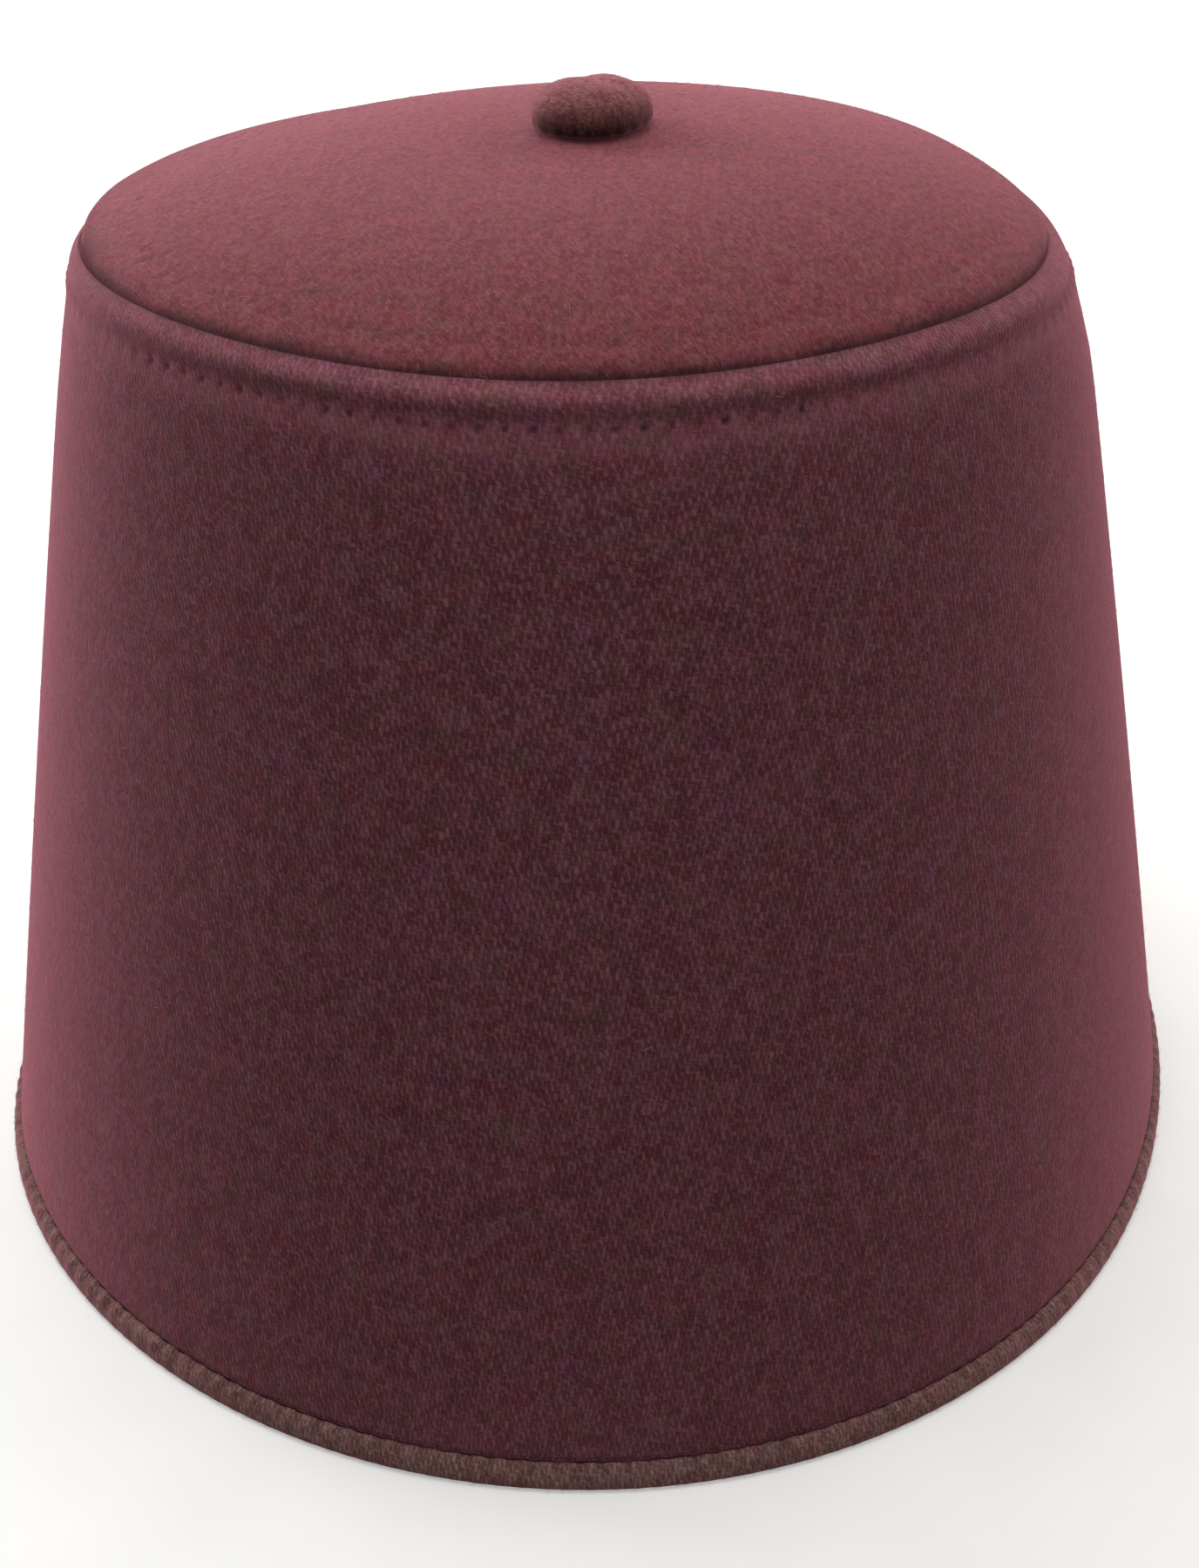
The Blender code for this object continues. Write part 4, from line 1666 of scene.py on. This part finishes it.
# %% The wool cloth
class Finish(NamedTuple):
    """A cloth's turn and pitch, how fulled it is, and its nap, relief and sheen."""

    turn: float = 0.0
    pitch: float = 0.54 * MM
    fulled: float = 0.46
    nap: tuple = (2.1, 0.7)
    relief: float = 0.05 * MM
    sheen: float = 0.5


# How the threads waver: the size of the waves in a thread's width, and how far they reach.
WAVERS = ((0.1, 1.0), (0.55, 0.65), (1.6, 0.35))
GRAIN_SHARE, FLOAT_SHARE, THREAD_SHARE = 1.5, 0.5, 0.12
BUMP_GRAIN = 0.3
WOOL_ROUGHNESS = (0.84, 0.97)
WOOL_SHEEN_TINT = (1.0, 0.32, 0.42)


def wool_cloth(name, shades, finish):
    """A Principled twill: colour, roughness and relief all come from the same threads."""
    material = bpy.data.materials.new(name)
    wires = Wires(material)
    place = wires.cloth_place()
    turned = wires.nodes.new("ShaderNodeMapping")
    turned.inputs["Rotation"].default_value = (0.0, 0.0, finish.turn)
    turned.inputs["Scale"].default_value = (1.0 / finish.pitch,) * 3
    wires.put(turned.inputs["Vector"], place)
    threads = turned.outputs[0]
    for scale, reach in WAVERS:
        wobble = wires.vector("SUBTRACT", wires.noise(threads, scale, 1.0, "Color"), (0.5, 0.5, 0.5))
        threads = wires.vector("ADD", threads, wires.vector("MULTIPLY", wobble, (reach, reach, 0.0)))
    weave = weave_twill(wires, threads)
    nap = wires.noise(twisted(wires, threads, *finish.nap), 1.0, 3.0)
    nap = wires.between(nap, 0.25, 0.75)
    raised = wires.mixed("FLOAT", finish.fulled, weave.height, nap)
    yarn = raised
    tones = (weave.grain, weave.float_tone, weave.thread_tone)
    for tone, share in zip(tones, (GRAIN_SHARE, FLOAT_SHARE, THREAD_SHARE)):
        change = wires.number("MULTIPLY", wires.number("SUBTRACT", tone, 0.5), share)
        raised = wires.number("ADD", raised, change)
    # The base colour carries painted light and shade from the yarn's relief.
    wires.put(wires.shader.inputs["Base Color"], fibre_colour(wires, weave, place, raised, shades))
    wires.put(wires.shader.inputs["Roughness"], wires.between(weave.grain, 0.3, 0.7, *WOOL_ROUGHNESS))
    wires.bump(wires.mixed("FLOAT", BUMP_GRAIN, yarn, raised), finish.relief)
    wires.shader.inputs["Specular IOR Level"].default_value = 0.15
    wires.shader.inputs["Sheen Weight"].default_value = finish.sheen
    wires.shader.inputs["Sheen Roughness"].default_value = 0.4
    wires.shader.inputs["Sheen Tint"].default_value = opaque(WOOL_SHEEN_TINT)
    return material


def dress(piece, material):
    piece.data.materials.clear()
    piece.data.materials.append(material)
    print(piece.name, "wears", material.name, "with", len(material.node_tree.nodes), "nodes")


# %% The shades and the finish of each cloth
SIDE_SHADES = Shades(
    red=(0.128, 0.026, 0.036),
    plum=(0.116, 0.027, 0.057),
    brown=(0.108, 0.043, 0.043),
    pale=(0.29, 0.15, 0.175),
)
TIP_SHADES = Shades(
    red=(0.142, 0.019, 0.025),
    plum=(0.128, 0.021, 0.044),
    brown=(0.118, 0.036, 0.032),
    pale=(0.26, 0.105, 0.115),
)
BUTTON_SHADES = Shades(
    red=(0.19, 0.045, 0.047),
    plum=(0.175, 0.047, 0.06),
    brown=(0.158, 0.06, 0.053),
    pale=(0.37, 0.21, 0.2),
)
BINDING_SHADES = Shades(
    red=(0.183, 0.071, 0.067),
    plum=(0.167, 0.071, 0.082),
    brown=(0.162, 0.088, 0.073),
    pale=(0.4, 0.29, 0.26),
)
CLOTHS = (
    (side, "side wool", SIDE_SHADES, Finish()),
    (
        tip,
        "tip wool",
        TIP_SHADES,
        Finish(turn=math.radians(2.0), fulled=0.9, nap=(2.3, 0.35), relief=0.035 * MM, sheen=0.38),
    ),
    (binding, "binding wool", BINDING_SHADES, Finish(turn=math.radians(8.0), pitch=0.55 * MM)),
    (
        button,
        "button wool",
        BUTTON_SHADES,
        Finish(turn=math.radians(-38.0), pitch=0.5 * MM, fulled=0.8),
    ),
)
for piece, name, shades, finish in CLOTHS:
    dress(piece, wool_cloth(name, shades, finish))

# %% [markdown]
# The seam is sewn with a twisted thread of a very dark red, near black and much darker than the
# cloth: painted shade for the needle holes that it lies in. The binding is sewn with a paler one.
# The hairs are single fibres: mostly the reds of the cloth, with a few bleached ones. Those on the
# tip are coloured lighter than those on the side: a painted sheen.


# %% The thread and the hairs
PLY_SCALE = 2600.0
PLY_LIGHTER = 1.9
HAIR_PATCHES = 900.0
HAIR_SHEEN_TINT = (1.0, 0.42, 0.5)
THREAD_ROUGHNESS = (0.6, 0.8)
HAIR_ROUGHNESS = (0.55, 0.75)


def sewing_thread(name, colour):
    material = bpy.data.materials.new(name)
    wires = Wires(material)
    plies = wires.noise(wires.object_place(), PLY_SCALE)
    light = tuple(min(1.0, channel * PLY_LIGHTER) for channel in colour)
    shade = wires.mixed("RGBA", wires.between(plies, 0.35, 0.7), opaque(colour), opaque(light))
    wires.put(wires.shader.inputs["Base Color"], shade)
    wires.put(wires.shader.inputs["Roughness"], wires.between(plies, 0.3, 0.7, *THREAD_ROUGHNESS))
    wires.bump(plies, 0.06 * MM)
    wires.shader.inputs["Specular IOR Level"].default_value = 0.3
    return material


def wool_hair(name, red, pale):
    material = bpy.data.materials.new(name)
    wires = Wires(material)
    patch = wires.noise(wires.object_place(), HAIR_PATCHES)
    shade = wires.mixed("RGBA", wires.between(patch, 0.4, 0.8), opaque(red), opaque(pale))
    wires.put(wires.shader.inputs["Base Color"], shade)
    wires.put(wires.shader.inputs["Roughness"], wires.between(patch, 0.3, 0.7, *HAIR_ROUGHNESS))
    wires.shader.inputs["Sheen Weight"].default_value = 0.15
    wires.shader.inputs["Sheen Tint"].default_value = opaque(HAIR_SHEEN_TINT)
    return material


THREADS = (
    # The seam thread is near black: painted shade for the needle holes.
    ("seam thread", (0.03, 0.009, 0.013), (side_stitches, tip_stitches)),
    ("edge thread", (0.22, 0.12, 0.105), (binding_stitches,)),
)
FIBRES = (
    ("loose fibres", (0.125, 0.045, 0.055), (0.28, 0.16, 0.19), (side_hairs,)),
    # The tip's fibres are coloured lighter than the side's: a painted sheen.
    ("tip fibres", (0.19, 0.065, 0.08), (0.32, 0.17, 0.19), (tip_hairs,)),
    ("button fibres", (0.14, 0.038, 0.038), (0.3, 0.16, 0.15), (button_hairs,)),
    ("edge fibres", BINDING_SHADES.red, BINDING_SHADES.pale, (binding_hairs,)),
    ("bleached fibres", (0.3, 0.16, 0.16), (0.42, 0.28, 0.26), (side_lint, tip_lint)),
)
for name, colour, rows in THREADS:
    thread = sewing_thread(name, colour)
    for stitches in rows:
        dress(stitches, thread)
for name, red, pale, tufts in FIBRES:
    fibres = wool_hair(name, red, pale)
    for hairs in tufts:
        dress(hairs, fibres)

# %% [markdown]
# Each piece stands for its solid, or rides along with it.

# %% Fasten every piece to the hat
PIECES = (
    (side, "side_cloth", "crown_side"),
    (side_stitches, "side_cloth", None),
    (side_hairs, "side_cloth", None),
    (side_lint, "side_cloth", None),
    (tip, "tip_cloth", "crown_tip"),
    (tip_stitches, "tip_cloth", None),
    (tip_hairs, "tip_cloth", None),
    (tip_lint, "tip_cloth", None),
    (binding, "binding_cloth", "edge_binding"),
    (binding_stitches, "binding_cloth", None),
    (binding_hairs, "binding_cloth", None),
    (button, "button_cloth", "top_button"),
    (button_hairs, "button_cloth", None),
)
for piece, slot, solid in PIECES:
    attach(piece, "root")
    if solid:
        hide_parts(solid)
print(len(PIECES), "pieces,", sum(triangles(piece) for piece, _, _ in PIECES), "triangles")

# %% [markdown]
# The stage is a plain pale floor under soft light. In the photograph the tip is about four times
# as bright as the front, and both sides of the crown brighten towards their edges, so a broad light
# hangs above and behind the hat, a tall one stands at each side, and little comes from the front.
# The floor ends where the lights do. The world is dim for the light that it gives and pale where
# the camera looks at it, so in low views the floor goes on into a pale background.

# %% The floor
FLOOR_RADIUS = 1.2
FLOOR_SHADES = ((0.62, 0.62, 0.61), (0.66, 0.66, 0.65))
FLOOR_GLOW = 0.5


def add_floor():
    deselect_everything()
    bpy.ops.mesh.primitive_circle_add(
        vertices=128, radius=FLOOR_RADIUS, fill_type="NGON", location=(0.0, 0.0, -0.02 * MM)
    )
    floor = bpy.context.object
    floor.name = "floor"
    material = bpy.data.materials.new("pale floor")
    wires = Wires(material)
    grain = wires.noise(wires.object_place(), 60.0)
    shade = wires.mixed("RGBA", grain, *map(opaque, FLOOR_SHADES))
    wires.put(wires.shader.inputs["Base Color"], shade)
    wires.shader.inputs["Roughness"].default_value = 0.9
    wires.shader.inputs["Specular IOR Level"].default_value = 0.1
    wires.put(wires.shader.inputs["Emission Color"], shade)
    wires.shader.inputs["Emission Strength"].default_value = FLOOR_GLOW
    floor.data.materials.append(material)
    floor.visible_diffuse = False
    print("a floor", 2.0 * FLOOR_RADIUS, "m across")


add_floor()


# %% The lights
class Softbox(NamedTuple):
    """A square area light: where it hangs, its side, its power in watts and its colour."""

    name: str
    place: tuple
    side: float
    power: float
    colour: tuple


SOFTBOXES = (
    Softbox("ceiling", (-0.1, 0.1, 1.5), 1.2, 13.8, (1.0, 0.98, 0.96)),
    Softbox("back_high", (-0.2, 1.1, 1.3), 1.2, 5.0, (1.0, 0.98, 0.96)),
    Softbox("back_low", (-0.1, 1.6, 0.7), 1.2, 11.2, (1.0, 0.98, 0.96)),
    Softbox("left_window", (-1.2, 0.9, 0.5), 0.9, 17.7, (0.98, 0.99, 1.0)),
    Softbox("right_window", (1.2, 0.9, 0.5), 0.9, 9.6, (1.0, 0.97, 0.92)),
    Softbox("right_card", (1.4, 0.15, 0.5), 0.9, 3.8, (1.0, 0.96, 0.9)),
    Softbox("front", (-0.2, -1.5, 0.7), 1.2, 7.2, (0.98, 1.0, 1.0)),
)
LIT_PLACE = Vector((0.0, 0.0, 0.06))


def add_softbox(softbox):
    light = bpy.data.lights.new(softbox.name, "AREA")
    light.size = softbox.side
    light.energy = softbox.power
    light.color = softbox.colour
    holder = bpy.data.objects.new(softbox.name, light)
    bpy.context.scene.collection.objects.link(holder)
    holder.location = softbox.place
    facing = LIT_PLACE - Vector(softbox.place)
    holder.rotation_euler = facing.to_track_quat("-Z", "Y").to_euler()


for softbox in SOFTBOXES:
    add_softbox(softbox)
print(len(SOFTBOXES), "lights,", round(sum(softbox.power for softbox in SOFTBOXES), 1), "watts in all")

# %% The world
WORLD_COLOUR = (1.0, 0.98, 0.97)
WORLD_LIGHT = 0.1
WORLD_SEEN = 0.95


def add_world():
    world = bpy.data.worlds.new("studio")
    world.use_nodes = True
    nodes, join = world.node_tree.nodes, world.node_tree.links.new
    background = nodes["Background"]
    background.inputs["Color"].default_value = opaque(WORLD_COLOUR)
    seen = nodes.new("ShaderNodeLightPath").outputs["Is Camera Ray"]
    strength = nodes.new("ShaderNodeMapRange")
    strength.inputs["To Min"].default_value = WORLD_LIGHT
    strength.inputs["To Max"].default_value = WORLD_SEEN
    join(seen, strength.inputs["Value"])
    join(strength.outputs["Result"], background.inputs["Strength"])
    bpy.context.scene.world = world


add_world()
bpy.context.scene.view_settings.view_transform = "Standard"
print("the world gives", WORLD_LIGHT, "and looks like", WORLD_SEEN)
